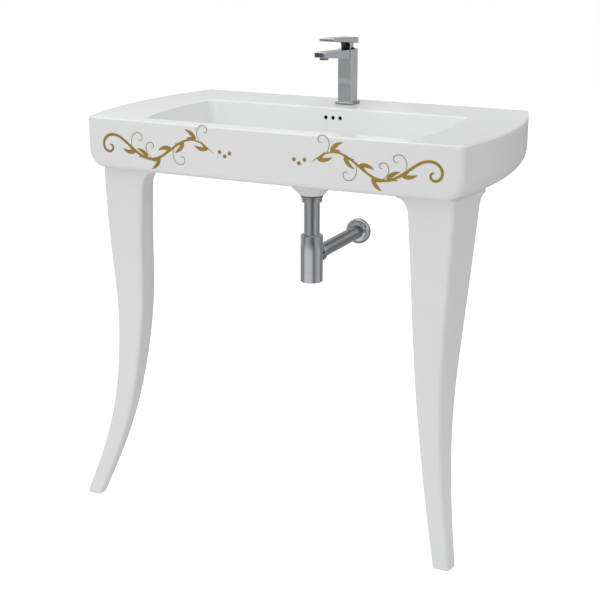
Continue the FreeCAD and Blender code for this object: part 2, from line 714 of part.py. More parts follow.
def bore_duct(body):
    """Duct from three overflow holes down to the waste hole."""
    near = S.overflow_duct_back
    foot = S.waste_slot_rise - S.boss_drop
    sketch = new_sketch(body, "duct_bore", offset=foot)
    half = S.overflow_duct_width / 2
    draw_box(sketch, -half, half, -(near + S.overflow_duct_gap), -near)
    extrude(body, "Pocket", sketch, S.apron_height - S.deck_thickness - foot, downwards=True)
    sketch = new_sketch(body, "duct_foot_bore", offset=foot)
    half = S.waste_slot_width / 2
    draw_box(sketch, -half, half, -(waste_from_wall - S.waste_hole_radius / 2), -near)
    extrude(body, "Pocket", sketch, S.waste_slot_height, downwards=True)

    sketch = new_sketch(body, "overflow_holes", "XZ_Plane", offset=near)
    height = S.apron_height - S.overflow_drop
    for place in (-1, 0, 1):
        across = S.overflow_spacing * place if place else 0
        draw_circle(sketch, across, height, S.overflow_hole_radius)
    length = S.back_deck + S.bowl_wall_slope - near
    extrude(body, "Pocket", sketch, length, downwards=True)


def cut_fixing_holes(body):
    """Tap hole, two wall bolt holes and the bolt holes of the leg seats."""
    sketch = new_sketch(body, "tap_hole", offset=S.apron_height)
    draw_circle(sketch, 0, -S.tap_from_wall, S.tap_hole_radius)
    extrude(body, "Pocket", sketch, S.deck_thickness * 2)

    sketch = new_sketch(body, "wall_bolt_holes", "XZ_Plane")
    for side in (-1, 1):
        draw_circle(sketch, S.wall_bolt_spacing / 2 * side, S.wall_bolt_rise, S.wall_bolt_radius)
    extrude(body, "Pocket", sketch, S.wall_thickness * 2, downwards=True)

    sketch = new_sketch(body, "leg_bolt_holes")
    for side in (-1, 1):
        draw_circle(sketch, leg_bolt_x * side, leg_bolt_y, S.leg_bolt_radius + S.free_gap * 3)
    extrude(body, "Pocket", sketch, S.ledge_thickness, downwards=True)


# ---------------------------------------------------------------- legs

def leg_outline(sketch, section, flare=0):
    """One level of the right leg, flared inwards and back by flare.

    The front face is flat, the outer face splays, and the inner back corner is a large
    round, so the leg looks light from the side that is seen.
    """
    inner = S.overall_width / 2 - section["inner"] - flare
    front = section["front"] - S.basin_depth
    back = front + section["depth"] + flare
    lean = (section["depth"] + flare) * S.leg_splay
    outer = S.overall_width / 2 - section["outer"]
    corners = [(inner, front), (outer, front), (outer + lean, back), (inner, back)]
    radii = [S.leg_edge_radius, S.leg_edge_radius, S.leg_back_radius, section["round"] + flare]
    draw_rounded(sketch, corners, radii)


def leg_section(name):
    values = {}
    for column in ("inner", "outer", "front", "depth", "round"):
        values[column] = getattr(S, f"leg_{name}_{column}")
    return values


def make_legs():
    """Sabre leg lofted from foot to top, with a cove that flares to its seat; and its mirror."""
    body = new_body("right_leg", y=wall_plane)
    sweep = []
    for name, *_ in LEG_SECTIONS:
        height = leg_sweep_height if name == "top" else getattr(S, f"leg_{name}_height")
        sketch = new_sketch(body, f"leg_{name}", offset=height)
        leg_outline(sketch, leg_section(name))
        sweep.append(sketch)
    loft(body, "AdditiveLoft", sweep, False, "leg_sweep")

    top = leg_section("top")
    cove_height = leg_height - S.leg_flange - leg_sweep_height
    cove = []
    # quarter ellipse: flare against height, closer together where it turns outwards
    for number, part in enumerate((0, 0.45, 0.75, 0.92, 1.0)):
        share = round(1 - math.sqrt(1 - part ** 2), 4)
        sketch = new_sketch(body, f"leg_cove_{number}",
                            offset=leg_sweep_height + cove_height * part)
        leg_outline(sketch, top, S.leg_flare * share)
        cove.append(sketch)
    loft(body, "AdditiveLoft", cove, True, "leg_cove")
    sketch = new_sketch(body, "leg_top", offset=leg_height - S.leg_flange)
    leg_outline(sketch, top, S.leg_flare)
    extrude(body, "Pad", sketch, S.leg_flange)

    sketch = new_sketch(body, "leg_socket", offset=leg_height)
    draw_circle(sketch, leg_bolt_x, leg_bolt_y, S.leg_plug_radius + S.thread_gap)
    extrude(body, "Pocket", sketch, S.leg_plug_length)
    doc.recompute()
    mirrored("left_leg", body)


def mirrored(label, source):
    copy = doc.addObject("Part::Mirroring", label)
    copy.Label = label
    copy.Source = source
    copy.Normal = (1, 0, 0)
    pieces.append(copy)
    return copy


def make_leg_fixings():
    """Gasket, plug, bolt, washer and nut of each leg, in pairs."""
    def pair(label, height, draw, length):
        body = doc.addObject("PartDesign::Body", f"{label}_right")
        bind(body, "Placement.Base.y", wall_plane)
        sketch = new_sketch(body, f"{label}_plan", offset=height)
        draw(sketch)
        extrude(body, "Pad", sketch, length)
        other = doc.addObject("Part::Mirroring", f"{label}_left")
        other.Source = body
        other.Normal = (1, 0, 0)
        both = doc.addObject("Part::Compound", label)
        both.Label = label
        both.Links = [other, body]
        pieces.append(both)

    def ring_plan(inner, outer):
        def draw(sketch):
            draw_circle(sketch, leg_bolt_x, leg_bolt_y, outer)
            if inner is not None:
                draw_circle(sketch, leg_bolt_x, leg_bolt_y, inner)
        return draw

    def gasket_plan(sketch):
        leg_outline(sketch, leg_section("top"), S.leg_flare - S.leg_gasket)
        draw_circle(sketch, leg_bolt_x, leg_bolt_y, S.leg_plug_radius)

    def nut_plan(sketch):
        half = S.leg_nut_width / 2
        corners = []
        for step in range(6):
            angle = math.radians(60 * step)
            reach = 1 / math.cos(math.pi / 6)
            corners.append((leg_bolt_x + half * round(reach * math.cos(angle), 6),
                            half * round(reach * math.sin(angle), 6) + leg_bolt_y))
        draw_polygon(sketch, corners)
        draw_circle(sketch, leg_bolt_x, leg_bolt_y, S.leg_bolt_radius + S.thread_gap)

    pair("leg_gaskets", leg_height, gasket_plan, S.leg_gasket)
    foot = leg_height - S.leg_plug_length
    pair("leg_plugs", foot, ring_plan(S.leg_bolt_radius + S.thread_gap, S.leg_plug_radius),
         S.leg_plug_length)
    pair("leg_bolts", foot + S.free_gap, ring_plan(None, S.leg_bolt_radius), S.leg_bolt_length)
    seat = basin_bottom + S.ledge_thickness
    pair("leg_washers", seat, ring_plan(S.leg_bolt_radius + S.free_gap, S.leg_washer_radius),
         S.leg_washer_thickness)
    pair("leg_nuts", seat + S.leg_washer_thickness, nut_plan, S.leg_nut_height)


# ---------------------------------------------------------------- mixer tap

def make_tap():
    """Square body with a flat spout in one casting, standing on a loose plate."""
    deck = S.rim_height
    body = new_body("tap_base_seal", y=tap_y, z=deck)
    sketch = new_sketch(body, "seal_plan")
    draw_square(sketch, S.tap_plate_width - S.tap_plate, S.tap_corner_radius)
    draw_circle(sketch, 0, 0, S.tap_hole_radius)
    extrude(body, "Pad", sketch, S.tap_seal)

    body = new_body("tap_base_plate", y=tap_y, z=deck + S.tap_seal)
    sketch = new_sketch(body, "plate_plan")
    draw_square(sketch, S.tap_plate_width, S.tap_corner_radius + S.tap_plate / 2)
    draw_circle(sketch, 0, 0, S.tap_plate_hole)
    plate = extrude(body, "Pad", sketch, S.tap_plate)
    bevel_edges(body, plate,
                lambda edge: level_at(edge, S.tap_plate.number)
                and edge.CenterOfMass.Length > S.tap_plate_hole.number,
                S.tap_plate / 4, "plate_bevel")

    make_tap_body()
    make_aerator()
    make_tap_clamp()


def make_tap_body():
    foot = S.tap_seal + S.tap_plate
    body = new_body("tap_body", y=tap_y, z=S.rim_height)
    sketch = new_sketch(body, "tap_plan", offset=foot)
    draw_square(sketch, S.tap_width, S.tap_corner_radius)
    extrude(body, "Pad", sketch, S.tap_top - foot)

    sketch = new_sketch(body, "spout_side", "YZ_Plane")
    root_top = S.tap_top
    tip_top = root_top + S.spout_rise
    inside = S.tap_width / 4
    draw_polygon(sketch, [
        (-inside, root_top - S.spout_root), (-inside, root_top),
        (-S.tap_width / 2, root_top), (-S.spout_reach, tip_top),
        (-S.spout_reach, tip_top - S.spout_tip),
        (-S.tap_width / 2, root_top - S.spout_root)])
    spout = extrude(body, "Pad", sketch, S.spout_width, both=True)
    round_edges(
        body, spout, lambda edge: edge.BoundBox.YMax < -S.spout_reach.number + 0.01,
        S.lever_edge_radius, "spout_tip_rounding")

    sketch = new_sketch(body, "spigot", offset=foot)
    draw_circle(sketch, 0, 0, S.spigot_radius)
    extrude(body, "Pad", sketch, S.spigot_length, downwards=True)

    # stepped bore for cartridge, its nut and the cover
    pivot = S.pivot_height
    seat = pivot + S.cartridge_top - S.cartridge_length
    shoulder = pivot + S.cartridge_top
    sketch = new_sketch(body, "cartridge_bore", "XZ_Plane")
    draw_polygon(sketch, [
        (0, seat), (S.cartridge_radius + S.thread_gap, seat),
        (S.cartridge_radius + S.thread_gap, shoulder),
        (S.cartridge_nut_radius + S.thread_gap, shoulder),
        (S.cartridge_nut_radius + S.thread_gap, S.tap_top + S.tap_plate),
        (0, S.tap_top + S.tap_plate)])
    spin(body, "Groove", sketch)

    # waterway from the cartridge to the aerator's socket
    sketch = new_sketch(body, "waterway", "YZ_Plane")
    way = S.spout_tip / 3
    root_low = root_top - S.spout_root + way / 2
    chamber = tip_top - S.spout_roof
    draw_polygon(sketch, [
        (0, root_low), (-S.aerator_reach, chamber - way * 1.25),
        (-S.aerator_reach, chamber - way / 4), (0, root_low + way)])
    extrude(body, "Pocket", sketch, S.spout_width / 3, both=True)

    sketch = new_sketch(body, "aerator_socket", offset=S.tap_top / 2)
    draw_circle(sketch, 0, -S.aerator_reach, S.aerator_radius + S.thread_gap)
    extrude(body, "Pocket", sketch, chamber - S.tap_top / 2, downwards=True)

    underside = foot - S.spigot_length
    sketch = new_sketch(body, "inlets", offset=underside)
    for side in (-1, 1):
        draw_circle(sketch, S.tap_inlet_side * side, -S.tap_inlet_front, S.tap_inlet_radius)
    extrude(body, "Pocket", sketch, S.tap_inlet_depth, downwards=True)
    sketch = new_sketch(body, "feeds", offset=underside)
    for side in (-1, 1):
        draw_circle(sketch, S.tap_inlet_side * side, -S.tap_inlet_front, S.tap_inlet_radius / 2)
    extrude(body, "Pocket", sketch, seat - underside + S.tap_seal, downwards=True)
    sketch = new_sketch(body, "stud_socket", offset=underside)
    draw_circle(sketch, 0, S.tap_stud_back, S.tap_stud_radius + S.thread_gap)
    extrude(body, "Pocket", sketch, S.tap_stud_up, downwards=True)


def make_aerator():
    """Screwed housing with its insert, in the underside of the spout."""
    socket_floor = S.rim_height + S.tap_top + S.spout_rise - S.spout_tip
    foot = socket_floor - S.aerator_drop
    y = tap_y - S.aerator_reach
    inner = S.aerator_radius - S.aerator_wall
    lip = S.aerator_wall
    turned("aerator_housing", [
        (inner - lip, 0), (S.aerator_radius, 0), (S.aerator_radius, S.aerator_length),
        (inner, S.aerator_length), (inner, lip), (inner - lip, lip)], y=y, z=foot)
    turned("aerator_insert", [
        (0, lip + S.thread_gap), (inner - S.thread_gap, lip + S.thread_gap),
        (inner - S.thread_gap, S.aerator_length - lip), (0, S.aerator_length - lip)],
        y=y, z=foot)


def make_tap_clamp():
    """Stud, horseshoe washers and nut that pull the tap down on to the deck."""
    foot = S.tap_seal + S.tap_plate - S.spigot_length
    stud_y = tap_y + S.tap_stud_back
    stud_top = S.rim_height + foot + S.tap_stud_up
    turned("tap_stud", [
        (0, -S.tap_stud_length), (S.tap_stud_radius, -S.tap_stud_length),
        (S.tap_stud_radius, 0), (0, 0)], y=stud_y, z=stud_top)

    under_deck = S.rim_height - S.deck_thickness
    level = under_deck
    for label, thickness in (("horseshoe_gasket", S.horseshoe_gasket),
                             ("horseshoe_washer", S.horseshoe_washer)):
        level = level - thickness
        body = new_body(label, y=tap_y, z=level)
        sketch = new_sketch(body, f"{label}_plan")
        draw_circle(sketch, 0, 0, S.horseshoe_radius)
        extrude(body, "Pad", sketch, thickness)
        # the slot opens forwards, so the washer slides in round hoses and stud
        sketch = new_sketch(body, f"{label}_slot", offset=thickness)
        slot = S.tap_inlet_side + S.tap_inlet_radius
        draw_box(sketch, -slot, slot, -S.horseshoe_radius * 2, S.tap_stud_back / 3)
        extrude(body, "Pocket", sketch, thickness)
        sketch = new_sketch(body, f"{label}_hole", offset=thickness)
        draw_circle(sketch, 0, S.tap_stud_back, S.tap_stud_radius + S.free_gap)
        extrude(body, "Pocket", sketch, thickness)
    ring("tap_stud_nut", S.tap_stud_radius + S.thread_gap, S.stud_nut_radius,
         0, S.stud_nut_height, y=stud_y, z=level - S.stud_nut_height)


# ---------------------------------------------------------------- cartridge and lever

def make_cartridge():
    """Cartridge with a turning carrier, in which the spindle tilts on a pin."""
    pocket_floor = -S.carrier_depth - S.running_gap * 6
    turned("cartridge_body", [
        (0, S.cartridge_top - S.cartridge_length),
        (S.cartridge_radius, S.cartridge_top - S.cartridge_length),
        (S.cartridge_radius, S.cartridge_top),
        (S.carrier_radius + S.running_gap, S.cartridge_top),
        (S.carrier_radius + S.running_gap, pocket_floor), (0, pocket_floor)],
        y=tap_y, z=pivot_z)
    ring("cartridge_nut", S.carrier_radius + S.running_gap * 20, S.cartridge_nut_radius,
         S.cartridge_top, S.cartridge_top + S.cartridge_nut_height, y=tap_y, z=pivot_z)

    body = new_body("spindle_carrier", y=tap_y, z=pivot_z)
    sketch = new_sketch(body, "carrier_plan", offset=-S.carrier_depth)
    draw_circle(sketch, 0, 0, S.carrier_radius)
    extrude(body, "Pad", sketch, S.carrier_depth + S.cartridge_top)
    sketch = new_sketch(body, "carrier_slot", offset=S.cartridge_top)
    half = S.spindle_width / 2 + S.running_gap
    draw_box(sketch, -half, half, -S.carrier_radius * 2, S.carrier_radius * 2)
    extrude(body, "Pocket", sketch, S.cartridge_top + S.carrier_depth - S.carrier_floor)
    sketch = new_sketch(body, "carrier_pin_hole", "YZ_Plane")
    draw_circle(sketch, 0, 0, S.pivot_pin_radius)
    extrude(body, "Pocket", sketch, S.carrier_radius * 3, both=True)

    body = new_body("pivot_pin", y=tap_y, z=pivot_z)
    sketch = new_sketch(body, "pin_plan", "YZ_Plane")
    draw_circle(sketch, 0, 0, S.pivot_pin_radius)
    extrude(body, "Pad", sketch, (S.carrier_radius - S.free_gap * 2) * 2, both=True)

    body = new_body("spindle", y=tap_y, z=pivot_z)
    body.Placement.Rotation = FreeCAD.Rotation(Vector(1, 0, 0), S.spindle_lean.number)
    body.setExpression("Placement.Rotation.Angle", S.spindle_lean.text)
    sketch = new_sketch(body, "spindle_plan", offset=-S.spindle_tail)
    half = S.spindle_width / 2
    draw_box(sketch, -half, half, -half, half)
    extrude(body, "Pad", sketch, S.spindle_tail + S.spindle_length)
    sketch = new_sketch(body, "spindle_pin_hole", "YZ_Plane")
    draw_circle(sketch, 0, 0, S.pivot_pin_radius + S.running_gap)
    extrude(body, "Pocket", sketch, S.spindle_width * 2, both=True)


def pin_ordinate(sketch, kind, geometry, vertex, value):
    """Dimension one ordinate of a vertex from the sketch's origin."""
    index = sketch.addConstraint(
        Sketcher.Constraint(kind, -1, 1, geometry, vertex, value.number))
    sketch.setExpression(f"Constraints[{index}]", value.text)


def make_cover():
    """Part of a sphere round the pivot, which the lever's neck glides over."""
    def above(radius, other):
        return math.sqrt(radius.number ** 2 - other.number ** 2)

    foot = S.tap_top - S.pivot_height
    opening = S.dome_opening
    inner = S.dome_radius - S.dome_thickness
    centre = Vector(0, 0, 0)
    outer_foot = Vector(above(S.dome_radius, foot), foot.number, 0)
    outer_lip = Vector(opening.number, above(S.dome_radius, opening), 0)
    inner_lip = Vector(opening.number, above(inner, opening), 0)
    inner_foot = Vector(above(inner, foot), foot.number, 0)
    body = new_body("cartridge_cover", y=tap_y, z=pivot_z)
    sketch = new_sketch(body, "cover_outline", "XZ_Plane")
    outside = sketch.addGeometry(
        arc_between(centre, S.dome_radius.number, outer_foot, outer_lip))
    lip = sketch.addGeometry(Part.LineSegment(outer_lip, inner_lip))
    inside = sketch.addGeometry(arc_between(centre, inner.number, inner_foot, inner_lip))
    base = sketch.addGeometry(Part.LineSegment(inner_foot, outer_foot))
    for first, end, second, start in ((outside, 2, lip, 1), (lip, 2, inside, 2),
                                      (inside, 1, base, 1), (base, 2, outside, 1)):
        sketch.addConstraint(Sketcher.Constraint("Coincident", first, end, second, start))
    for arc, radius in ((outside, S.dome_radius), (inside, inner)):
        sketch.addConstraint(Sketcher.Constraint("Coincident", arc, 3, -1, 1))
        set_radius(sketch, arc, radius)
    sketch.addConstraint(Sketcher.Constraint("Vertical", lip))
    sketch.addConstraint(Sketcher.Constraint("Horizontal", base))
    pin_ordinate(sketch, "DistanceY", base, 1, foot)
    pin_ordinate(sketch, "DistanceX", lip, 1, opening)
    spin(body, "Revolution", sketch)


def make_lever():
    """Flat lever with a neck whose underside is hollowed to glide over the cover."""
    body = new_body("lever", y=tap_y, z=pivot_z)
    sketch = new_sketch(body, "lever_side", "YZ_Plane")
    draw_polygon(sketch, [
        (S.lever_back, S.lever_under_back), (S.lever_back, S.lever_top_back),
        (-S.lever_reach, S.lever_top_tip), (-S.lever_reach, S.lever_under_tip)])
    plate = extrude(body, "Pad", sketch, S.tap_width, both=True)
    round_edges(body, plate, lambda edge: True, S.lever_edge_radius, "lever_rounding")

    sketch = new_sketch(body, "neck_side", "YZ_Plane")
    low = S.dome_radius / 2
    high = S.lever_under_back + S.lever_edge_radius * 2
    draw_polygon(sketch, [
        (S.neck_back, low), (S.neck_back, high),
        (-S.neck_front * 1.5, high + S.lever_edge_radius * 2),
        (-S.neck_front, S.lever_under_back - S.lever_edge_radius * 2),
        (-S.neck_front, low)])
    extrude(body, "Pad", sketch, S.neck_width, both=True)

    sketch = new_sketch(body, "neck_hollow", "XZ_Plane")
    hollow = S.dome_radius + S.free_gap
    centre = Vector(0, 0, 0)
    top = Vector(0, hollow.number, 0)
    side = Vector(hollow.number, 0, 0)
    arc = sketch.addGeometry(arc_between(centre, hollow.number, side, top))
    floor = sketch.addGeometry(Part.LineSegment(centre, side))
    axis = sketch.addGeometry(Part.LineSegment(top, centre))
    for first, second in ((floor, arc), (arc, axis), (axis, floor)):
        sketch.addConstraint(Sketcher.Constraint("Coincident", first, 2, second, 1))
    sketch.addConstraint(Sketcher.Constraint("Coincident", arc, 3, -1, 1))
    sketch.addConstraint(Sketcher.Constraint("Coincident", floor, 1, -1, 1))
    sketch.addConstraint(Sketcher.Constraint("Horizontal", floor))
    sketch.addConstraint(Sketcher.Constraint("Vertical", axis))
    set_radius(sketch, arc, hollow)
    spin(body, "Groove", sketch)

    # square socket of the spindle, leaning with it
    lean = math.radians(S.spindle_lean.number)
    sketch = new_sketch(body, "spindle_socket", "YZ_Plane")
    half = S.spindle_width / 2 + S.running_gap
    reach = S.spindle_length + S.running_gap * 4
    cosine = Size(math.cos(lean), f"cos({S.spindle_lean.text} * 1 deg)")
    sine = Size(math.sin(lean), f"sin({S.spindle_lean.text} * 1 deg)")
    low = S.dome_radius / 2
    draw_polygon(sketch, [
        (-(sine * low) - half * cosine, cosine * low - half * sine),
        (-(sine * low) + half * cosine, cosine * low + half * sine),
        (-(sine * reach) + half * cosine, cosine * reach + half * sine),
        (-(sine * reach) - half * cosine, cosine * reach - half * sine)])
    extrude(body, "Pocket", sketch, half * 2, both=True)

    sketch = new_sketch(body, "grub_hole", "XZ_Plane", offset=-S.lever_back)
    draw_circle(sketch, 0, S.grub_height, S.grub_radius + S.thread_gap)
    extrude(body, "Pocket", sketch, S.lever_back + S.spindle_width, downwards=True)
    sketch = new_sketch(body, "grub_cap_hole", "XZ_Plane", offset=-S.lever_back)
    draw_circle(sketch, 0, S.grub_height, S.grub_cap_radius)
    extrude(body, "Pocket", sketch, S.grub_cap_length, downwards=True)


def make_lever_fixings():
    """Grub screw that holds the lever on the spindle, and the cap over its hole."""
    lean = math.radians(S.spindle_lean.number)
    tangent = Size(math.tan(lean), f"tan({S.spindle_lean.text} * 1 deg)")
    cosine = Size(math.cos(lean), f"cos({S.spindle_lean.text} * 1 deg)")
    contact = S.spindle_width / 2 / cosine - S.grub_height * tangent + S.grub_radius * tangent
    body = new_body("lever_screw", y=tap_y, z=pivot_z + S.grub_height)
    sketch = new_sketch(body, "screw_plan", "XZ_Plane", offset=-contact)
    draw_circle(sketch, 0, 0, S.grub_radius)
    extrude(body, "Pad", sketch, S.grub_length, downwards=True)

    body = new_body("lever_screw_cap", y=tap_y, z=pivot_z + S.grub_height)
    sketch = new_sketch(body, "cap_plan", "XZ_Plane", offset=-S.lever_back)
    draw_circle(sketch, 0, 0, S.grub_cap_radius)
    extrude(body, "Pad", sketch, S.grub_cap_length)


# ---------------------------------------------------------------- waste

def make_waste():
    """Push waste with overflow slots, clamped in the boss by its nut."""
    recess = bowl_floor - S.waste_recess_depth
    ring("waste_top_seal", S.waste_barrel_radius + S.free_gap, S.waste_flange_radius - S.free_gap,
         0, S.waste_top_seal, y=waste_y, z=recess)

    flange_foot = recess + S.waste_top_seal - boss_bottom
    flange_top = flange_foot + S.waste_flange_height
    dish = S.waste_flange_radius - S.waste_flange_height
    body = new_body("waste_body", y=waste_y, z=boss_bottom)
    sketch = new_sketch(body, "waste_outline", "XZ_Plane")
    draw_polygon(sketch, [
        (S.waste_bore_radius, -S.waste_barrel_end), (S.waste_barrel_radius, -S.waste_barrel_end),
        (S.waste_barrel_radius, flange_foot), (S.waste_flange_radius, flange_foot),
        (S.waste_flange_radius, flange_top), (dish, flange_top),
        (S.waste_bore_radius, flange_top - S.waste_flange_height / 2)])
    spin(body, "Revolution", sketch)
    sketch = new_sketch(body, "overflow_slots", offset=S.waste_slot_rise)
    half = S.waste_slot_width / 2
    draw_box(sketch, -half, half, -S.waste_recess_radius, S.waste_recess_radius)
    extrude(body, "Pocket", sketch, S.waste_slot_height, downwards=True)
    bridge = flange_foot - S.bridge_drop
    sketch = new_sketch(body, "bridge", offset=bridge)
    long = S.waste_bore_radius + S.free_gap
    thick = S.bridge_height / 2
    draw_box(sketch, -long, long, -thick, thick)
    extrude(body, "Pad", sketch, S.bridge_height)
    sketch = new_sketch(body, "bridge_hub", offset=bridge)
    draw_circle(sketch, 0, 0, S.bridge_hub_radius)
    extrude(body, "Pad", sketch, S.bridge_height)

    push_foot = boss_bottom + bridge + S.bridge_height
    bore = S.stem_radius + S.running_gap
    turned("push_fitting", [
        (0, 0), (S.push_radius, 0), (S.push_radius, S.push_length), (bore, S.push_length),
        (bore, S.push_floor), (0, S.push_floor)], y=waste_y, z=push_foot)

    flange_level = boss_bottom + flange_top
    under = S.plug_seal
    turned("waste_plug", [
        (0, under - S.stem_length), (S.stem_radius, under - S.stem_length),
        (S.stem_radius, under), (S.plug_radius, under), (S.plug_radius, under + S.plug_edge),
        (0, under + S.plug_edge + S.plug_crown)], y=waste_y, z=flange_level + S.free_gap)
    ring("plug_seal", S.waste_bore_radius, dish - S.plug_seal, 0, S.plug_seal,
         y=waste_y, z=flange_level + S.free_gap)

    ring("waste_lower_seal", S.waste_barrel_radius + S.thread_gap, S.waste_seal_radius,
         -S.waste_seal, 0, y=waste_y, z=boss_bottom)
    nut_top = -S.waste_seal
    bevel = S.thread_gap * 8
    nut_foot = nut_top - S.backnut_height
    turned("waste_backnut", [
        (S.waste_barrel_radius + S.thread_gap, nut_foot), (S.backnut_radius - bevel, nut_foot),
        (S.backnut_radius, nut_foot + bevel), (S.backnut_radius, nut_top - bevel),
        (S.backnut_radius - bevel, nut_top), (S.waste_barrel_radius + S.thread_gap, nut_top)],
        y=waste_y, z=boss_bottom)


# ---------------------------------------------------------------- bottle trap

def make_trap():
    """Tail pipe, bottle trap, wall pipe and rose."""
    barrel_end = boss_bottom - S.waste_barrel_end
    ring("tail_seal", S.tail_radius, S.tail_flange_radius, -S.tail_seal, 0,
         y=waste_y, z=barrel_end)
    flange_top = barrel_end - S.tail_seal
    flange_foot = flange_top - S.tail_flange
    inner = S.tail_radius - S.tail_wall
    tail_end = outlet_height - S.tail_drop
    turned("tail_pipe", [
        (inner, tail_end), (S.tail_radius, tail_end), (S.tail_radius, flange_foot),
        (S.tail_flange_radius, flange_foot), (S.tail_flange_radius, flange_top),
        (inner, flange_top)], y=waste_y)
    nut_top = boss_bottom - S.waste_seal - S.backnut_height - S.free_gap
    nut_foot = flange_foot - S.tail_nut_shoulder
    bevel = S.thread_gap * 8
    bore = S.waste_barrel_radius + S.thread_gap
    turned("tail_nut", [
        (S.tail_radius + S.thread_gap, nut_foot), (S.tail_nut_radius - bevel, nut_foot),
        (S.tail_nut_radius, nut_foot + bevel), (S.tail_nut_radius, nut_top - bevel),
        (S.tail_nut_radius - bevel, nut_top), (bore, nut_top), (bore, flange_foot),
        (S.tail_radius + S.thread_gap, flange_foot)], y=waste_y)
    make_trap_shells()
    make_wall_pipe()


def make_trap_shells():
    """Collar, body and bottle of the trap, and the rings that seal them."""
    trap_top = outlet_height + S.trap_rise
    trap_bottom = outlet_height - S.trap_drop
    bottle_split = outlet_height - S.bottle_split_drop
    collar_foot = trap_top - S.collar_height
    bore = S.trap_radius - S.trap_wall
    neck = bore - S.trap_wall
    bevel = S.thread_gap * 8
    roof = trap_top - S.collar_roof
    turned("trap_collar", [
        (bore + S.thread_gap, collar_foot), (S.trap_radius, collar_foot),
        (S.trap_radius, trap_top - bevel), (S.trap_radius - bevel, trap_top),
        (S.tail_radius + S.thread_gap, trap_top), (S.tail_radius + S.thread_gap, roof),
        (bore + S.thread_gap, roof)], y=waste_y)
    ring("trap_inlet_seal", S.tail_radius, bore, roof - S.trap_seal_height, roof, y=waste_y)

    # body: threaded neck in the collar, bored tube below, stub towards the wall
    body = new_body("trap_body", y=waste_y)
    sketch = new_sketch(body, "trap_body_outline", "XZ_Plane")
    shoulder = collar_foot - S.thread_gap
    neck_top = roof - S.trap_seal_height
    draw_polygon(sketch, [
        (bore, bottle_split), (S.trap_radius, bottle_split), (S.trap_radius, shoulder),
        (bore, shoulder), (bore, neck_top), (neck, neck_top), (neck, shoulder - S.trap_wall),
        (bore, shoulder - S.trap_wall * 2)])
    spin(body, "Revolution", sketch)
    reach = S.trap_radius + S.outlet_stub_length
    sketch = new_sketch(body, "outlet_stub", "XZ_Plane", offset=-reach)
    draw_circle(sketch, 0, outlet_height, S.outlet_stub_radius)
    extrude(body, "Pad", sketch, reach - bore + S.trap_wall)
    sketch = new_sketch(body, "outlet_bore", "XZ_Plane", offset=-reach)
    draw_circle(sketch, 0, outlet_height, S.pipe_radius + S.thread_gap)
    extrude(body, "Pocket", sketch, reach, downwards=True)
    sketch = new_sketch(body, "tube_bore", "XY_Plane", offset=bottle_split)
    draw_circle(sketch, 0, 0, bore)
    extrude(body, "Pocket", sketch, shoulder - S.trap_wall * 2 - bottle_split, downwards=True)

    bottle_wall = neck - S.thread_gap
    turned("trap_bottle", [
        (0, trap_bottom), (S.trap_radius - bevel, trap_bottom),
        (S.trap_radius, trap_bottom + bevel), (S.trap_radius, bottle_split - S.thread_gap),
        (bore - S.thread_gap, bottle_split - S.thread_gap),
        (bore - S.thread_gap, bottle_split + S.bottle_neck),
        (bottle_wall, bottle_split + S.bottle_neck),
        (bottle_wall, trap_bottom + S.bottle_floor), (0, trap_bottom + S.bottle_floor)],
        y=waste_y)
    ring("trap_bottle_seal", neck, bore - S.thread_gap, 0, S.bottle_ring,
         y=waste_y, z=bottle_split + S.bottle_neck)


def make_wall_pipe():
    """Outlet nut and seal, wall pipe and domed rose, all turned round a line along y."""
    def along_wall(label, outline):
        """outline holds (distance from the wall, radius) pairs."""
        body = new_body(label, y=wall_plane, z=outlet_height)
        sketch = new_sketch(body, f"{label}_outline", "YZ_Plane")
        draw_polygon(sketch, [(-distance if isinstance(distance, Size) else 0, radius)
                              for distance, radius in outline])
        spin(body, "Revolution", sketch, "H_Axis")
        return body

    stub_end = waste_from_wall - S.trap_radius - S.outlet_stub_length
    seal_end = stub_end - S.outlet_seal
    nut_end = seal_end - S.outlet_nut_shoulder
    nut_start = nut_end + S.outlet_nut_length
    bevel = S.thread_gap * 8
    stub = S.outlet_stub_radius + S.thread_gap
    hole = S.pipe_radius + S.thread_gap
    along_wall("outlet_nut", [
        (nut_start, stub), (nut_start, S.outlet_nut_radius - bevel),
        (nut_start - bevel, S.outlet_nut_radius), (nut_end + bevel, S.outlet_nut_radius),
        (nut_end, S.outlet_nut_radius - bevel), (nut_end, hole), (seal_end, hole),
        (seal_end, stub)])
    along_wall("outlet_seal", [
        (stub_end, S.pipe_radius), (stub_end, S.outlet_stub_radius),
        (seal_end, S.outlet_stub_radius), (seal_end, S.pipe_radius)])
    pipe_start = stub_end + S.outlet_stub_length
    inner = S.pipe_radius - S.pipe_wall
    groove = S.pipe_radius - S.pipe_mark_depth
    along_wall("wall_pipe", [
        (pipe_start, inner), (pipe_start, S.pipe_radius), (S.pipe_mark_width, S.pipe_radius),
        (S.pipe_mark_width, groove), (0, groove), (0, S.pipe_radius),
        (-S.pipe_stub, S.pipe_radius), (-S.pipe_stub, inner)])
    make_rose()


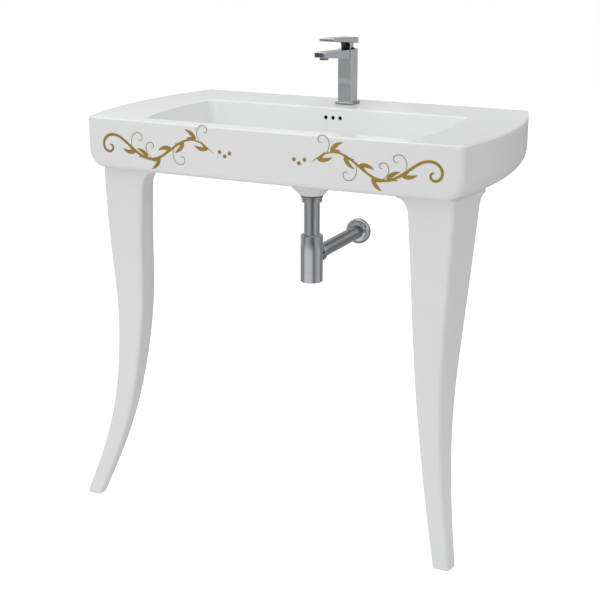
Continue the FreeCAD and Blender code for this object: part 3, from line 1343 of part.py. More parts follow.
def make_rose():
    """Domed rose: upright rim at the wall, then a quarter ellipse to the pipe."""
    body = new_body("wall_rose", y=wall_plane, z=outlet_height)
    hole = S.pipe_radius + S.thread_gap
    sheet_wall = S.escutcheon_wall
    outer = []
    inner = []
    steps = 7
    for step in range(steps + 1):
        angle = math.radians(90 * step / steps)
        out = round(math.cos(angle), 6)
        up = round(math.sin(angle), 6)
        span = S.escutcheon_radius - hole
        rise = S.escutcheon_height - S.escutcheon_rim
        outer.append((-(S.escutcheon_rim + rise * up), hole + span * out))
        inner.append((-(S.escutcheon_rim + (rise - sheet_wall) * up),
                      hole + (span - sheet_wall) * out))
    sketch = new_sketch(body, "rose_outline", "YZ_Plane")
    draw_polygon(sketch, [(0, S.escutcheon_radius)] + outer + inner[::-1]
                 + [(0, S.escutcheon_radius - sheet_wall)])
    spin(body, "Revolution", sketch, "H_Axis")


# ---------------------------------------------------------------- build and write

make_basin()
make_legs()
make_leg_fixings()
make_tap()
make_cartridge()
make_cover()
make_lever()
make_lever_fixings()
make_waste()
make_trap()
doc.recompute()

faults = []
for item in doc.Objects:
    if any(state in ("Invalid", "Error") for state in item.State):
        faults.append(f"{item.Label}: {item.State}")
for piece in pieces:
    if piece.Shape.isNull() or not piece.Shape.isValid() or not piece.Shape.Solids:
        faults.append(f"{piece.Label}: no valid solid")
if faults:
    raise ValueError("\n".join(faults))

os.makedirs("parts", exist_ok=True)
for piece in pieces:
    piece.Shape.exportStep(f"parts/{piece.Label}.step")
    box = piece.Shape.BoundBox
    print(f"{piece.Label:20s} {len(piece.Shape.Solids)} solid(s) {piece.Shape.Volume:12.1f} mm3 "
          f"x {box.XMin:.1f}..{box.XMax:.1f} y {box.YMin:.1f}..{box.YMax:.1f} "
          f"z {box.ZMin:.1f}..{box.ZMax:.1f}")
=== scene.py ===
import math

import bpy
import numpy as np
from bpy.props import FloatProperty, FloatVectorProperty, IntProperty, PointerProperty
from bpy.types import Operator, Panel, PropertyGroup
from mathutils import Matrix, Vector


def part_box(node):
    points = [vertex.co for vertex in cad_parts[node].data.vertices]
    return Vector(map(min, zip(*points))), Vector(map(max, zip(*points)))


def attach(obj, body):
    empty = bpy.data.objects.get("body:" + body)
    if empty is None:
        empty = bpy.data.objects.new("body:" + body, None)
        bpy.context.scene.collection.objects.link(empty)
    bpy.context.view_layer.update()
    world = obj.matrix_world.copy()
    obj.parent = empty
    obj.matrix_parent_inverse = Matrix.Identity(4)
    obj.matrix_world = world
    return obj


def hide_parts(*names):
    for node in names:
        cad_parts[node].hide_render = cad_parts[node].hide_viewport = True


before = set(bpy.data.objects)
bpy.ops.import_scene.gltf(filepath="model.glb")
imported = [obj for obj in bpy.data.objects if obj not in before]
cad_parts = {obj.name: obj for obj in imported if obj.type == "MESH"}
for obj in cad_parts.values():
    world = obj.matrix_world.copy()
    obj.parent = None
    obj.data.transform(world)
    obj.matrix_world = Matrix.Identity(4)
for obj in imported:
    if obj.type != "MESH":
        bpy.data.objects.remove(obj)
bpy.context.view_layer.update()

bl_info = {
    "name": "Console washbasin looks",
    "version": (1, 0, 0),
    "blender": (4, 5, 0),
    "location": "View3D > Sidebar > Washbasin",
    "description": "Glazes, plates and gilds a console washbasin on sabre legs, "
                   "and sets its studio",
    "category": "Object",
}

MM = 0.001
# the wall plane behind the basin, and the height of its deck
WALL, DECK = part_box("basin")[1].y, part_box("basin")[1].z


def srgb(hex_code, alpha=None):
    """A hex sRGB colour as linear numbers: c/12.92 near black, else ((c + 0.055)/1.055)^2.4."""
    parts = [int(hex_code[i:i + 2], 16) / 255 for i in (1, 3, 5)]
    linear = [c / 12.92 if c <= 0.04045 else ((c + 0.055) / 1.055) ** 2.4 for c in parts]
    return tuple(linear) if alpha is None else tuple(linear) + (alpha,)


# ------------------------------------------------------------------ sizes and colours

class CeramicLook(PropertyGroup):
    """Glaze of basin and legs."""
    glaze: FloatVectorProperty(
        name="Glaze", description="White of the glazed fireclay", subtype="COLOR",
        size=3, min=0, max=1, default=srgb("#EDEEEE"))
    gloss: FloatProperty(
        name="Roughness", description="Roughness of the glaze", default=0.2, min=0, max=1)
    ripple: FloatProperty(
        name="Ripple", description="Height of the glaze's slow ripple",
        default=0.00006, min=0, unit="LENGTH", precision=5)
    ripple_width: FloatProperty(
        name="Ripple width", description="Width of one ripple of the glaze",
        default=0.035, min=0.001, unit="LENGTH")
    leg_steps: IntProperty(
        name="Leg steps", description="Levels computed along each leg", default=96, min=12)


class GoldLook(PropertyGroup):
    """Fired-on gold vine of the front."""
    gold: FloatVectorProperty(
        name="Gold", description="Colour of leaves and stems", subtype="COLOR",
        size=3, min=0, max=1, default=srgb("#A98A3C"))
    shade: FloatVectorProperty(
        name="Thin lines", description="Colour of the tendrils", subtype="COLOR",
        size=3, min=0, max=1, default=srgb("#A3A08A"))
    relief: FloatProperty(
        name="Relief", description="How far the gold stands above the glaze",
        default=0.0003, min=0.00005, unit="LENGTH", precision=5)
    middle: FloatProperty(
        name="Middle", description="Height of the vine's middle line above the floor",
        default=0.806, unit="LENGTH")
    wave: FloatProperty(
        name="Wave", description="Half height of the vine's wave", default=0.024, unit="LENGTH")


class MetalLook(PropertyGroup):
    """Plated, turned and moulded fittings."""
    chrome: FloatVectorProperty(
        name="Chrome", description="Colour of the chrome plating", subtype="COLOR",
        size=3, min=0, max=1, default=srgb("#B4B6BA"))
    polish: FloatProperty(
        name="Roughness", description="Roughness of the chrome", default=0.06, min=0, max=1)


class StudioLook(PropertyGroup):
    """Camera and light."""
    lens: FloatProperty(
        name="Lens", description="Focal length on a 36 mm sensor", default=78.545, min=10)
    key: FloatProperty(
        name="Key", description="Power of the lamp to the upper left", default=16, min=0,
        unit="POWER")
    top: FloatProperty(
        name="Top", description="Power of the lamp overhead", default=14, min=0, unit="POWER")
    fill: FloatProperty(
        name="Fill", description="Power of the lamp in front", default=11.5, min=0, unit="POWER")
    sky: FloatProperty(
        name="Sky", description="Strength of the light from all round", default=0.58, min=0)
    cards: FloatProperty(
        name="Cards", description="Radius of the ring of cards that only metal shows",
        default=1.5, min=1.0, unit="LENGTH")


# ------------------------------------------------------------------ surfaces

def loft_loops(loops):
    """Closed surface through a stack of closed loops.

    loops is (levels, points, 3). Level i and i + 1 are joined point by point, and each
    end is closed by a fan round the mean of its loop.
    """
    levels, count, _ = loops.shape
    ring = np.arange(levels * count).reshape(levels, count)
    following = np.roll(ring, -1, axis=1)
    walls = np.stack([ring[:-1], following[:-1], following[1:], ring[1:]], axis=-1)
    poles = np.stack([loops[0].mean(0), loops[-1].mean(0)])
    first = np.full(count, levels * count)
    last = first + 1
    start = np.stack([following[0], ring[0], first, first], axis=-1)
    end = np.stack([ring[-1], following[-1], last, last], axis=-1)
    faces = np.concatenate([walls.reshape(-1, 4), start, end])
    return np.concatenate([loops.reshape(-1, 3), poles]), faces


def outwards(vertices, faces):
    """faces with their order reversed if the closed surface has a negative volume.

    The volume is the sum over triangles of a . (b x c) / 6.
    """
    a, b, c, d = (vertices[faces[:, i]] for i in range(4))
    volume = np.einsum("ij,ij->i", a, np.cross(b, c)).sum()
    volume += np.einsum("ij,ij->i", a, np.cross(c, d)).sum()
    return faces if volume > 0 else faces[:, ::-1]


def as_polygons(faces):
    """Quads as lists, with the doubled corner of a fan's triangle left out."""
    return [list(dict.fromkeys(face)) for face in faces.tolist()]


def closed_piece(name, parts, material, body):
    """One object from several closed surfaces, each (vertices, faces); it rides on body."""
    vertices, polygons, offset = [], [], 0
    for part_vertices, part_faces in parts:
        polygons += as_polygons(outwards(part_vertices, part_faces) + offset)
        vertices.append(part_vertices)
        offset += len(part_vertices)
    mesh = bpy.data.meshes.new(name)
    mesh.from_pydata(np.concatenate(vertices).tolist(), [], polygons)
    mesh.shade_smooth()
    mesh.materials.append(material)
    piece = bpy.data.objects.new(name, mesh)
    bpy.context.scene.collection.objects.link(piece)
    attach(piece, body)
    return piece


def smooth_through(knots, values, places):
    """Natural cubic spline through values at knots, read at places.

    The second derivatives m solve h0 m0 + 2(h0 + h1) m1 + h1 m2 = 6 (slope1 - slope0),
    with m = 0 at both ends.
    """
    gap = np.diff(knots)
    slope = np.diff(values, axis=0) / gap[:, None]
    count = len(knots)
    matrix = np.eye(count)
    right = np.zeros_like(values)
    inner = np.arange(1, count - 1)
    matrix[inner, inner - 1] = gap[:-1]
    matrix[inner, inner] = 2 * (gap[:-1] + gap[1:])
    matrix[inner, inner + 1] = gap[1:]
    right[1:-1] = 6 * np.diff(slope, axis=0)
    second = np.linalg.solve(matrix, right)
    cell = np.clip(np.searchsorted(knots, places, side="right") - 1, 0, count - 2)
    low, high, width = knots[cell], knots[cell + 1], gap[cell][:, None]
    a = (high - places)[:, None] / width
    b = (places - low)[:, None] / width
    curved = ((a ** 3 - a) * second[cell] + (b ** 3 - b) * second[cell + 1]) * width ** 2 / 6
    return a * values[cell] + b * values[cell + 1] + curved


def rounded_loops(corners, radii, arc_points, side_points):
    """Loops of straight sides whose corners are rounded by tangent arcs.

    corners is (levels, n, 2), anticlockwise; radii is (levels, n). A corner with half
    angle h is cut r / tan(h) along both sides, and its arc's centre lies r / sin(h)
    along the bisector. Extra points on the sides keep their shading flat.
    """
    before = np.roll(corners, 1, axis=1) - corners
    after = np.roll(corners, -1, axis=1) - corners
    before /= np.linalg.norm(before, axis=2, keepdims=True)
    after /= np.linalg.norm(after, axis=2, keepdims=True)
    half = np.arccos(np.clip((before * after).sum(2), -1, 1)) / 2
    bisector = before + after
    bisector /= np.linalg.norm(bisector, axis=2, keepdims=True)
    centre = corners + bisector * (radii / np.sin(half))[..., None]
    sweep = np.pi - 2 * half
    facing = np.arctan2(-bisector[..., 1], -bisector[..., 0])
    share = np.linspace(-0.5, 0.5, arc_points)
    angle = facing[..., None] + sweep[..., None] * share
    arcs = centre[:, :, None] + radii[..., None, None] * np.stack(
        [np.cos(angle), np.sin(angle)], axis=-1)
    ends = np.roll(arcs[:, :, 0], -1, axis=1)
    along = (1 - np.cos(np.linspace(0, np.pi, side_points + 2)[1:-1])) / 2
    sides = (arcs[:, :, -1, None] * (1 - along)[:, None]
             + ends[:, :, None] * along[:, None])
    return np.concatenate([arcs, sides], axis=2).reshape(len(corners), -1, 2)


# ------------------------------------------------------------------ materials

def add_node(tree, kind, values=None, **settings):
    """A node with its settings; values gives each input a number or another node's output."""
    node = tree.nodes.new(kind)
    for name, value in settings.items():
        setattr(node, name, value)
    for socket, value in (values or {}).items():
        if isinstance(value, bpy.types.NodeSocket):
            tree.links.new(value, node.inputs[socket])
        else:
            node.inputs[socket].default_value = value
    return node


def new_material(name):
    """An empty node material and its tree."""
    material = bpy.data.materials.new(name)
    material.use_nodes = True
    material.node_tree.nodes.clear()
    return material, material.node_tree


def finish_material(tree, shader):
    """The tree's output, fed by shader."""
    output = add_node(tree, "ShaderNodeOutputMaterial")
    tree.links.new(shader.outputs[0], output.inputs["Surface"])


def grain(tree, size, detail, roughness=0.5):
    """Noise on Object coordinates whose largest spots are size metres wide."""
    place = add_node(tree, "ShaderNodeTexCoord")
    return add_node(tree, "ShaderNodeTexNoise", {
        "Vector": place.outputs["Object"], "Scale": 1 / size, "Detail": detail,
        "Roughness": roughness})


def spread(tree, factor, low, high):
    """factor from 0 to 1 turned to a number between low and high."""
    return add_node(tree, "ShaderNodeMapRange", {
        "Value": factor, "To Min": low, "To Max": high}).outputs["Result"]


def tint(tree, factor, first, second):
    """factor from 0 to 1 turned to a colour between two."""
    return add_node(tree, "ShaderNodeMix", {
        "Factor": factor, "A": first, "B": second}, data_type="RGBA").outputs["Result"]


def shaded(colour, share):
    """A linear colour times share, with full alpha."""
    return tuple(c * share for c in colour) + (1,)


def inside_box(tree, low, high):
    """1 where Object coordinates p lie in a box: max |p - middle| / half size is under 1."""
    place = add_node(tree, "ShaderNodeTexCoord").outputs["Object"]
    low, high = np.array(low), np.array(high)
    shift = add_node(tree, "ShaderNodeVectorMath", {0: place, 1: tuple((low + high) / 2)},
                     operation="SUBTRACT").outputs[0]
    scaled = add_node(tree, "ShaderNodeVectorMath", {0: shift, 1: tuple((high - low) / 2)},
                      operation="DIVIDE").outputs[0]
    size = add_node(tree, "ShaderNodeVectorMath", {0: scaled}, operation="ABSOLUTE").outputs[0]
    axes = add_node(tree, "ShaderNodeSeparateXYZ", {0: size}).outputs
    wide = add_node(tree, "ShaderNodeMath", {0: axes[0], 1: axes[1]}, operation="MAXIMUM")
    most = add_node(tree, "ShaderNodeMath", {0: wide.outputs[0], 1: axes[2]},
                    operation="MAXIMUM")
    return add_node(tree, "ShaderNodeMath", {0: most.outputs[0], 1: 1.0},
                    operation="LESS_THAN").outputs[0]


# box of the overflow duct, whose inside is painted near black as painted shade, in metres: half
# its width, its front and back ahead of the wall, and its foot and top under the deck
DUCT_HALF_WIDTH = 0.030
DUCT_FRONT, DUCT_BACK = 0.1535, 0.125
DUCT_FOOT, DUCT_TOP = 0.10, 0.0125


def glazed_fireclay(look):
    """Glazed fireclay: cast clay under a thick white tin glaze, fired once.

    The glaze settles in slow ripples, so highlights wander a little, and it is a trace
    darker in their troughs. Pores 6 mm apart change its shine. Inside the overflow duct
    the colour is painted near black as painted shade, so the duct looks black through its holes.
    """
    material, tree = new_material("glazed_fireclay")
    slow = grain(tree, look.ripple_width, 1.0)
    colour = tint(tree, slow.outputs["Fac"], shaded(look.glaze, 0.985), shaded(look.glaze, 1))
    duct = inside_box(tree, (-DUCT_HALF_WIDTH, WALL - DUCT_FRONT, DECK - DUCT_FOOT),
                      (DUCT_HALF_WIDTH, WALL - DUCT_BACK, DECK - DUCT_TOP))
    # painted shade: the inside of the overflow duct is painted near black
    colour = tint(tree, duct, colour, srgb("#0A0A0A", 1))
    pores = grain(tree, 0.006, 2.0)
    rough = spread(tree, pores.outputs["Fac"], look.gloss - 0.02, look.gloss + 0.02)
    bump = add_node(tree, "ShaderNodeBump", {
        "Height": slow.outputs["Fac"], "Strength": 1.0, "Distance": look.ripple})
    finish_material(tree, add_node(tree, "ShaderNodeBsdfPrincipled", {
        "Base Color": colour, "Roughness": rough, "IOR": 1.5, "Normal": bump.outputs["Normal"]}))
    return material


def chromed_brass(look):
    """Chromed brass: cast, polished and plated; a mirror with faint wipe marks 12 mm wide.

    In the marks its roughness goes up to 1.5 times polish, and between them down to 0.6.
    """
    material, tree = new_material("chromed_brass")
    marks = grain(tree, 0.012, 4.0, 0.6)
    rough = spread(tree, marks.outputs["Fac"], look.polish * 0.6, look.polish * 1.5)
    colour = tint(tree, marks.outputs["Fac"], shaded(look.chrome, 0.96), shaded(look.chrome, 1))
    finish_material(tree, add_node(tree, "ShaderNodeBsdfPrincipled", {
        "Base Color": colour, "Metallic": 1.0, "Roughness": rough}))
    return material


def plain_finish(name, hex_code, metallic, rough, grain_size, contrast, bump_height):
    """Base colour and roughness varied by one noise, which also gives a slight relief.

    grain_size and bump_height are in metres. contrast is how much darker the darkest
    spots are. The roughness runs from 0.85 to 1.15 times rough.
    """
    material, tree = new_material(name)
    colour = srgb(hex_code)
    spots = grain(tree, grain_size, 3.0)
    bump = add_node(tree, "ShaderNodeBump", {
        "Height": spots.outputs["Fac"], "Strength": 1.0, "Distance": bump_height})
    finish_material(tree, add_node(tree, "ShaderNodeBsdfPrincipled", {
        "Base Color": tint(tree, spots.outputs["Fac"], shaded(colour, 1 - contrast),
                           shaded(colour, 1)),
        "Metallic": metallic,
        "Roughness": spread(tree, spots.outputs["Fac"], rough * 0.85, rough * 1.15),
        "Normal": bump.outputs["Normal"]}))
    return material


def fired_gold(name, colour, rough):
    """Burnished gold lustre: gold resinate brushed on the glaze and fired.

    It is thinner in places, so its colour shifts in soft patches 9 mm wide, as a brush is.
    """
    material, tree = new_material(name)
    patches = grain(tree, 0.009, 3.0, 0.6)
    finish_material(tree, add_node(tree, "ShaderNodeBsdfPrincipled", {
        "Base Color": tint(tree, patches.outputs["Fac"], shaded(colour, 0.78),
                           shaded(colour, 1.12)),
        "Metallic": 0.55, "Roughness": spread(tree, patches.outputs["Fac"], rough, rough + 0.12)}))
    return material


def dress(nodes, material):
    """Gives CAD nodes one material."""
    for name in nodes:
        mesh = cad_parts[name].data
        mesh.materials.clear()
        mesh.materials.append(material)


# ------------------------------------------------------------------ ceramic

# height, inner side, outer side, wall to front face, depth, inner back radius, in mm
LEG_LEVELS = np.array([
    [0, 403, 438, 543, 33, 14],
    [100, 373, 413, 509, 40, 17],
    [200, 350, 395, 486, 49, 20],
    [325, 331, 385, 473, 64, 28],
    [450, 319, 385.5, 469, 82, 45],
    [575, 313, 393, 474, 95, 62],
    [706, 304.5, 400, 475, 106, 85]])
# head of the leg, reach of its flare and height of its upright rim, in mm
LEG_TOP, LEG_FLARE, LEG_RIM = 749, 26, 4
# how far the outer side splays for each mm of depth
LEG_LEAN = 0.18
# radius of the foot's and the head's edges, of the front edges at the head and lower
# down, of the outer back edge, and the height over which the front edges change, in mm
FOOT_EDGE, HEAD_EDGE = 3.0, 1.0
FRONT_EDGE_HEAD, FRONT_EDGE, BACK_EDGE, EDGE_CHANGE = 5, 7, 8, 60


def leg_loops(steps):
    """Levels of the right leg, in metres.

    Up to the last row of LEG_LEVELS each outline value is a spline of the height. Above
    it the inner and back sides flare out as a quarter ellipse,
    offset = flare (1 - sqrt(1 - f^2)) at the part f of the cove's height, and end in an
    upright rim. The foot's and the head's edges are rounded by a quarter circle of inset.
    Close under the head the front edges' radius changes evenly to its value there.
    """
    sweep_top = LEG_LEVELS[-1, 0]
    cove_top = LEG_TOP - LEG_RIM
    turn = np.linspace(0, np.pi / 2, 7)
    foot = FOOT_EDGE * (1 - np.cos(turn))
    rise = np.linspace(FOOT_EDGE, sweep_top, steps)[1:]
    part = np.sin(np.linspace(0, np.pi / 2, 18))[1:]
    cove = sweep_top + (cove_top - sweep_top) * part
    rim = LEG_TOP - HEAD_EDGE * (1 - np.sin(turn))
    heights = np.concatenate([foot, rise, cove, rim])
    flare = np.concatenate([
        np.zeros(len(foot) + len(rise)), LEG_FLARE * (1 - np.sqrt(1 - part ** 2)),
        np.full(len(rim), LEG_FLARE)])
    inset = np.concatenate([
        FOOT_EDGE * (1 - np.sin(turn)), np.zeros(len(rise) + len(cove)),
        HEAD_EDGE * (1 - np.cos(turn))])
    table = smooth_through(LEG_LEVELS[:, 0], LEG_LEVELS[:, 1:], np.minimum(heights, sweep_top))
    inner, outer, front, depth, curve = table.T
    depth = depth + flare
    inner = inner - flare
    curve = curve + flare - inset
    front = WALL / MM - front
    back = front + depth
    lean = depth * LEG_LEAN
    corners = np.stack([
        np.stack([inner + inset, front + inset], -1),
        np.stack([outer - inset, front + inset], -1),
        np.stack([outer + lean - inset, back - inset], -1),
        np.stack([inner + inset, back - inset], -1)], axis=1)
    below = np.clip((LEG_TOP - heights) / EDGE_CHANGE, 0, 1)
    edge = FRONT_EDGE_HEAD + (FRONT_EDGE - FRONT_EDGE_HEAD) * below - inset
    radii = np.stack([edge, edge, BACK_EDGE - inset, curve], axis=1)
    plan = rounded_loops(corners, radii, arc_points=14, side_points=6)
    level = np.broadcast_to(heights[:, None, None], plan.shape[:2] + (1,))
    return np.concatenate([plan, level], axis=2) * MM


class WASHBASIN_OT_ceramic(Operator):
    """Glaze the basin and build both sabre legs"""
    bl_idname = "washbasin.ceramic"
    bl_label = "Ceramic"

    def execute(self, context):
        look = context.scene.washbasin_ceramic
        glaze = glazed_fireclay(look)
        dress(["basin"], glaze)
        right = leg_loops(look.leg_steps)
        left = right * np.array([-1, 1, 1])
        for name, loops in (("right_leg", right), ("left_leg", left)):
            piece = closed_piece(f"{name}_glazed", [loft_loops(loops)], glaze,
                                 "washbasin")
            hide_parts(name)
        return {"FINISHED"}


# ------------------------------------------------------------------ gold vine

# in metres: depth of the basin at its middle, radius of its bowed front
BASIN_DEPTH, FRONT_BOW = 0.505, 9.0
# start and end of the stem's run from the basin's middle, and length of its wave
STEM_START, STEM_END, WAVE_LENGTH = 0.110, 0.330, 0.205
# half widths of stem and tendrils, radius of a berry, and the half width below which a
# stroke stands lower
STEM_HALF, TENDRIL_HALF, BERRY, THIN_HALF = 0.0030, 0.0011, 0.0042, 0.0008
# joints of the stem, among its points; angle off it and length of the two leaves at each
JOINTS = range(8, 148, 20)
LEAVES = ((0.9, 0.036), (0.35, 0.025))
# point of the stem, side and length of each tendril
TENDRILS = ((22, 1, 0.125), (64, -1, 0.135), (100, 1, 0.120), (134, 1, 0.130))
# distance from the basin's middle, and height over the vine's, of each berry
BERRIES = ((0.096, 0.004), (0.084, -0.004), (0.073, 0.003))


def front_line(x):
    """y of the front face at x: a circle whose middle lies the basin's depth off the wall."""
    return WALL - BASIN_DEPTH + FRONT_BOW - np.sqrt(FRONT_BOW ** 2 - np.square(x))


def brush_stroke(line, half_width, relief):
    """Closed lens-shaped ribbon on the front face.

    line is (n, 2) of x and z. Round each of its points the section runs as a lens:
    across = half_width cos(t), height = relief sin(t) above the glaze and three tenths
    of that below it. The width falls to nothing at both ends.
    """
    run = np.gradient(line, axis=0)
    run /= np.linalg.norm(run, axis=1, keepdims=True)
    side = np.stack([-run[:, 1], run[:, 0]], axis=1)
    turn = np.linspace(0, 2 * np.pi, 12, endpoint=False)
    across = half_width[:, None] * np.cos(turn)
    proud = relief * np.where(np.sin(turn) > 0, np.sin(turn), 0.3 * np.sin(turn))
    flat = line[:, None] + side[:, None] * across[..., None]
    x, z = flat[..., 0], flat[..., 1]
    y = front_line(x) - proud[None] * np.minimum(1, half_width[:, None] / THIN_HALF)
    return loft_loops(np.stack([x, y, z], axis=-1))


def taper(count, widest, sharpness, lean):
    """Half widths of a stroke: widest times t^a (1 - t)^b, scaled to 1 at its peak.

    a + b is twice the sharpness, and a's part of that is lean.
    """
    t = np.linspace(0.0005, 0.9995, count)
    a, b = sharpness * 2 * lean, sharpness * 2 * (1 - lean)
    shape = t ** a * (1 - t) ** b
    return widest * shape / shape.max()


def curl(start, heading, size, turns, hand, count):
    """Spiral from start: the heading turns by turns x 2 pi x s^1.35 while each step shrinks.

    Step length falls as (1 - 0.85 s), so the line winds ever tighter.
    """
    s = np.linspace(0, 1, count)
    angle = heading + hand * turns * 2 * np.pi * s ** 1.35
    step = size / count * (1 - 0.85 * s)
    moves = np.stack([np.cos(angle), np.sin(angle)], axis=1) * step[:, None]
    return np.asarray(start) + np.cumsum(moves, axis=0)


def leaf(start, heading, length, width, bend):
    """Leaf: a stroke whose heading turns by bend over its length, widest before its middle."""
    count = 24
    angle = heading + bend * np.linspace(0, 1, count)
    moves = np.stack([np.cos(angle), np.sin(angle)], axis=1) * length / count
    half_width = taper(count, width, sharpness=0.8, lean=0.4)
    return np.asarray(start) + np.cumsum(moves, axis=0), half_width


def vine(look, hand):
    """One half of the vine: (line, half width) of its gold and of its thin strokes.

    The stem runs outwards as a wave, z = middle + wave sin(2 pi (x - start) / length).
    Leaves leave it on alternate sides, a spiral closes it, three berries open it, and
    thin tendrils wind away from it.
    """
    x = np.linspace(STEM_START, STEM_END, 150)
    z = look.middle + look.wave * np.sin(2 * np.pi * (x - STEM_START) / WAVE_LENGTH)
    stem = np.stack([x, z], axis=1)
    heading = np.arctan2(np.gradient(z), np.gradient(x))
    spiral = curl(stem[-1], heading[-1], size=0.200, turns=1.2, hand=-1, count=110)
    line = np.concatenate([stem, spiral[1:]])
    gold, thin = [(line, taper(len(line), STEM_HALF, sharpness=0.35, lean=0.62))], []
    for number, index in enumerate(JOINTS):
        side = 1 if number % 2 else -1
        for off, size in LEAVES:
            gold.append(leaf(stem[index], heading[index] + side * off, size,
                             width=size * 0.12, bend=-side * 0.9))
    for index, side, size in TENDRILS:
        line = curl(stem[index], heading[index] + side * 0.6, size, turns=1.05, hand=side,
                    count=80)
        thin.append((line, taper(len(line), TENDRIL_HALF, sharpness=0.25, lean=0.4)))
    # a berry is a short stroke whose half width follows a circle, not quite to its ends
    share = np.linspace(-1, 1, 16)
    for across, up in BERRIES:
        berry = np.stack([across + BERRY * share, np.full(16, look.middle + up)], axis=1)
        gold.append((berry, BERRY * np.sqrt(1 - (0.995 * share) ** 2)))
    mirror = np.array([hand, 1])
    return ([(line * mirror, width) for line, width in gold],
            [(line * mirror, width) for line, width in thin])


class WASHBASIN_OT_gold_vine(Operator):
    """Paint a mirrored gold vine across the front"""
    bl_idname = "washbasin.gold_vine"
    bl_label = "Gold vine"

    def execute(self, context):
        look = context.scene.washbasin_gold
        gold_strokes, thin_strokes = [], []
        for hand in (1, -1):
            gold, thin = vine(look, hand)
            gold_strokes += [brush_stroke(*stroke, look.relief) for stroke in gold]
            thin_strokes += [brush_stroke(*stroke, look.relief * 0.8) for stroke in thin]
        closed_piece("gold_vine_leaves", gold_strokes, fired_gold("fired_gold", look.gold, 0.3),
                     "washbasin")
        closed_piece("gold_vine_tendrils", thin_strokes,
                     fired_gold("fired_gold_thin", look.shade, 0.35), "washbasin")
        return {"FINISHED"}


# ------------------------------------------------------------------ fittings

# in metres: front of the lever's neck ahead of its turning axis; foot of the shield above
# the lever's lowest point, and its top and the start of its lean under the highest; half
# its width at foot and top, radius of its corners, depth sunk in the neck and height
NECK_FRONT = 0.013
SHIELD_FOOT, SHIELD_TOP, SHIELD_LEAN_FROM = 0.0013, 0.0170, 0.0235
SHIELD_FOOT_HALF, SHIELD_TOP_HALF, SHIELD_CORNER = 0.0108, 0.0102, 0.0012
SHIELD_SUNK, SHIELD_PROUD = 0.0006, 0.0009
# forwards for each metre upwards
SHIELD_LEAN = 0.72


def paint_neck_shade(material):
    """Black sheet on the front of the lever's neck: painted shade under the lever.

    Its outline is a trapezium with round corners, shrunk towards its middle by
    1 - k^4 / 12 as it rises k from the neck to its crown, so its face is softly pillowed.
    The last loop is nine tenths of the outline. From a height upwards it leans forwards
    with the neck.
    """
    low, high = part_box("lever")
    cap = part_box("cartridge_cover")
    front = (cap[0].y + cap[1].y) / 2 - NECK_FRONT
    foot, top = low.z + SHIELD_FOOT, high.z - SHIELD_TOP
    corners = np.array([[[-SHIELD_FOOT_HALF, foot], [SHIELD_FOOT_HALF, foot],
                         [SHIELD_TOP_HALF, top], [-SHIELD_TOP_HALF, top]]])
    outline = rounded_loops(corners, np.full((1, 4), SHIELD_CORNER), arc_points=8,
                            side_points=16)[0]
    rise = np.linspace(0, 1, 9)[:-1]
    middle = outline.mean(axis=0)
    share = np.concatenate([[1], 1 - rise ** 4 / 12, [0.90]])
    proud = np.concatenate([[-SHIELD_SUNK], SHIELD_PROUD * rise, [SHIELD_PROUD]])
    plan = middle + (outline - middle) * share[:, None, None]
    climb = np.maximum(0, plan[..., 1] - (high.z - SHIELD_LEAN_FROM))
    depth = front - proud[:, None] - SHIELD_LEAN * climb
    loops = np.stack([plan[..., 0], depth, plan[..., 1]], axis=-1)
    closed_piece("lever_neck_shield", [loft_loops(loops)], material, "lever")


# in metres: width and height of the pads' squeezed edge, and the step between doubled
# points that keeps an edge crisp under smooth shading
SQUEEZE_WIDTH, SQUEEZE_HEIGHT, CRISP = 0.012, 0.0035, 0.00005


def squeezed_gaskets(material):
    """Silicone pads as wide as the heads of the legs, squeezed up at their outer sides.

    Each follows its head's outline, taken halfway round the head's edge. Towards the
    outer side, which splays by LEG_LEAN, its top rises as t^2 (3 - 2 t) into the wedge
    under the basin's rounded edge.
    """
    low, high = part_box("leg_gaskets")
    head = leg_loops(2)[-4, :, :2]
    across = head[:, 0] - LEG_LEAN * head[:, 1]
    step = np.clip((across - across.max()) / SQUEEZE_WIDTH + 1, 0, 1)
    top = high.z + SQUEEZE_HEIGHT * step ** 2 * (3 - 2 * step)
    middle = head.mean(axis=0)
    inner = middle + (head - middle) * 0.9
    whole = np.ones(len(head))
    levels = [(head, low.z * whole), (head, (low.z + CRISP) * whole), (head, top - CRISP),
              (head, top), (inner, high.z * whole)]
    right = np.stack([np.column_stack(level) for level in levels])
    left = right * np.array([-1, 1, 1])
    piece = closed_piece("leg_gaskets_squeezed", [loft_loops(right), loft_loops(left)],
                         material, "washbasin")
    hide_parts("leg_gaskets")


# in metres: upright rim, sheet and gap to the pipe of the wall rose
ROSE_RIM, ROSE_SHEET, ROSE_GAP = 0.006, 0.0012, 0.0001


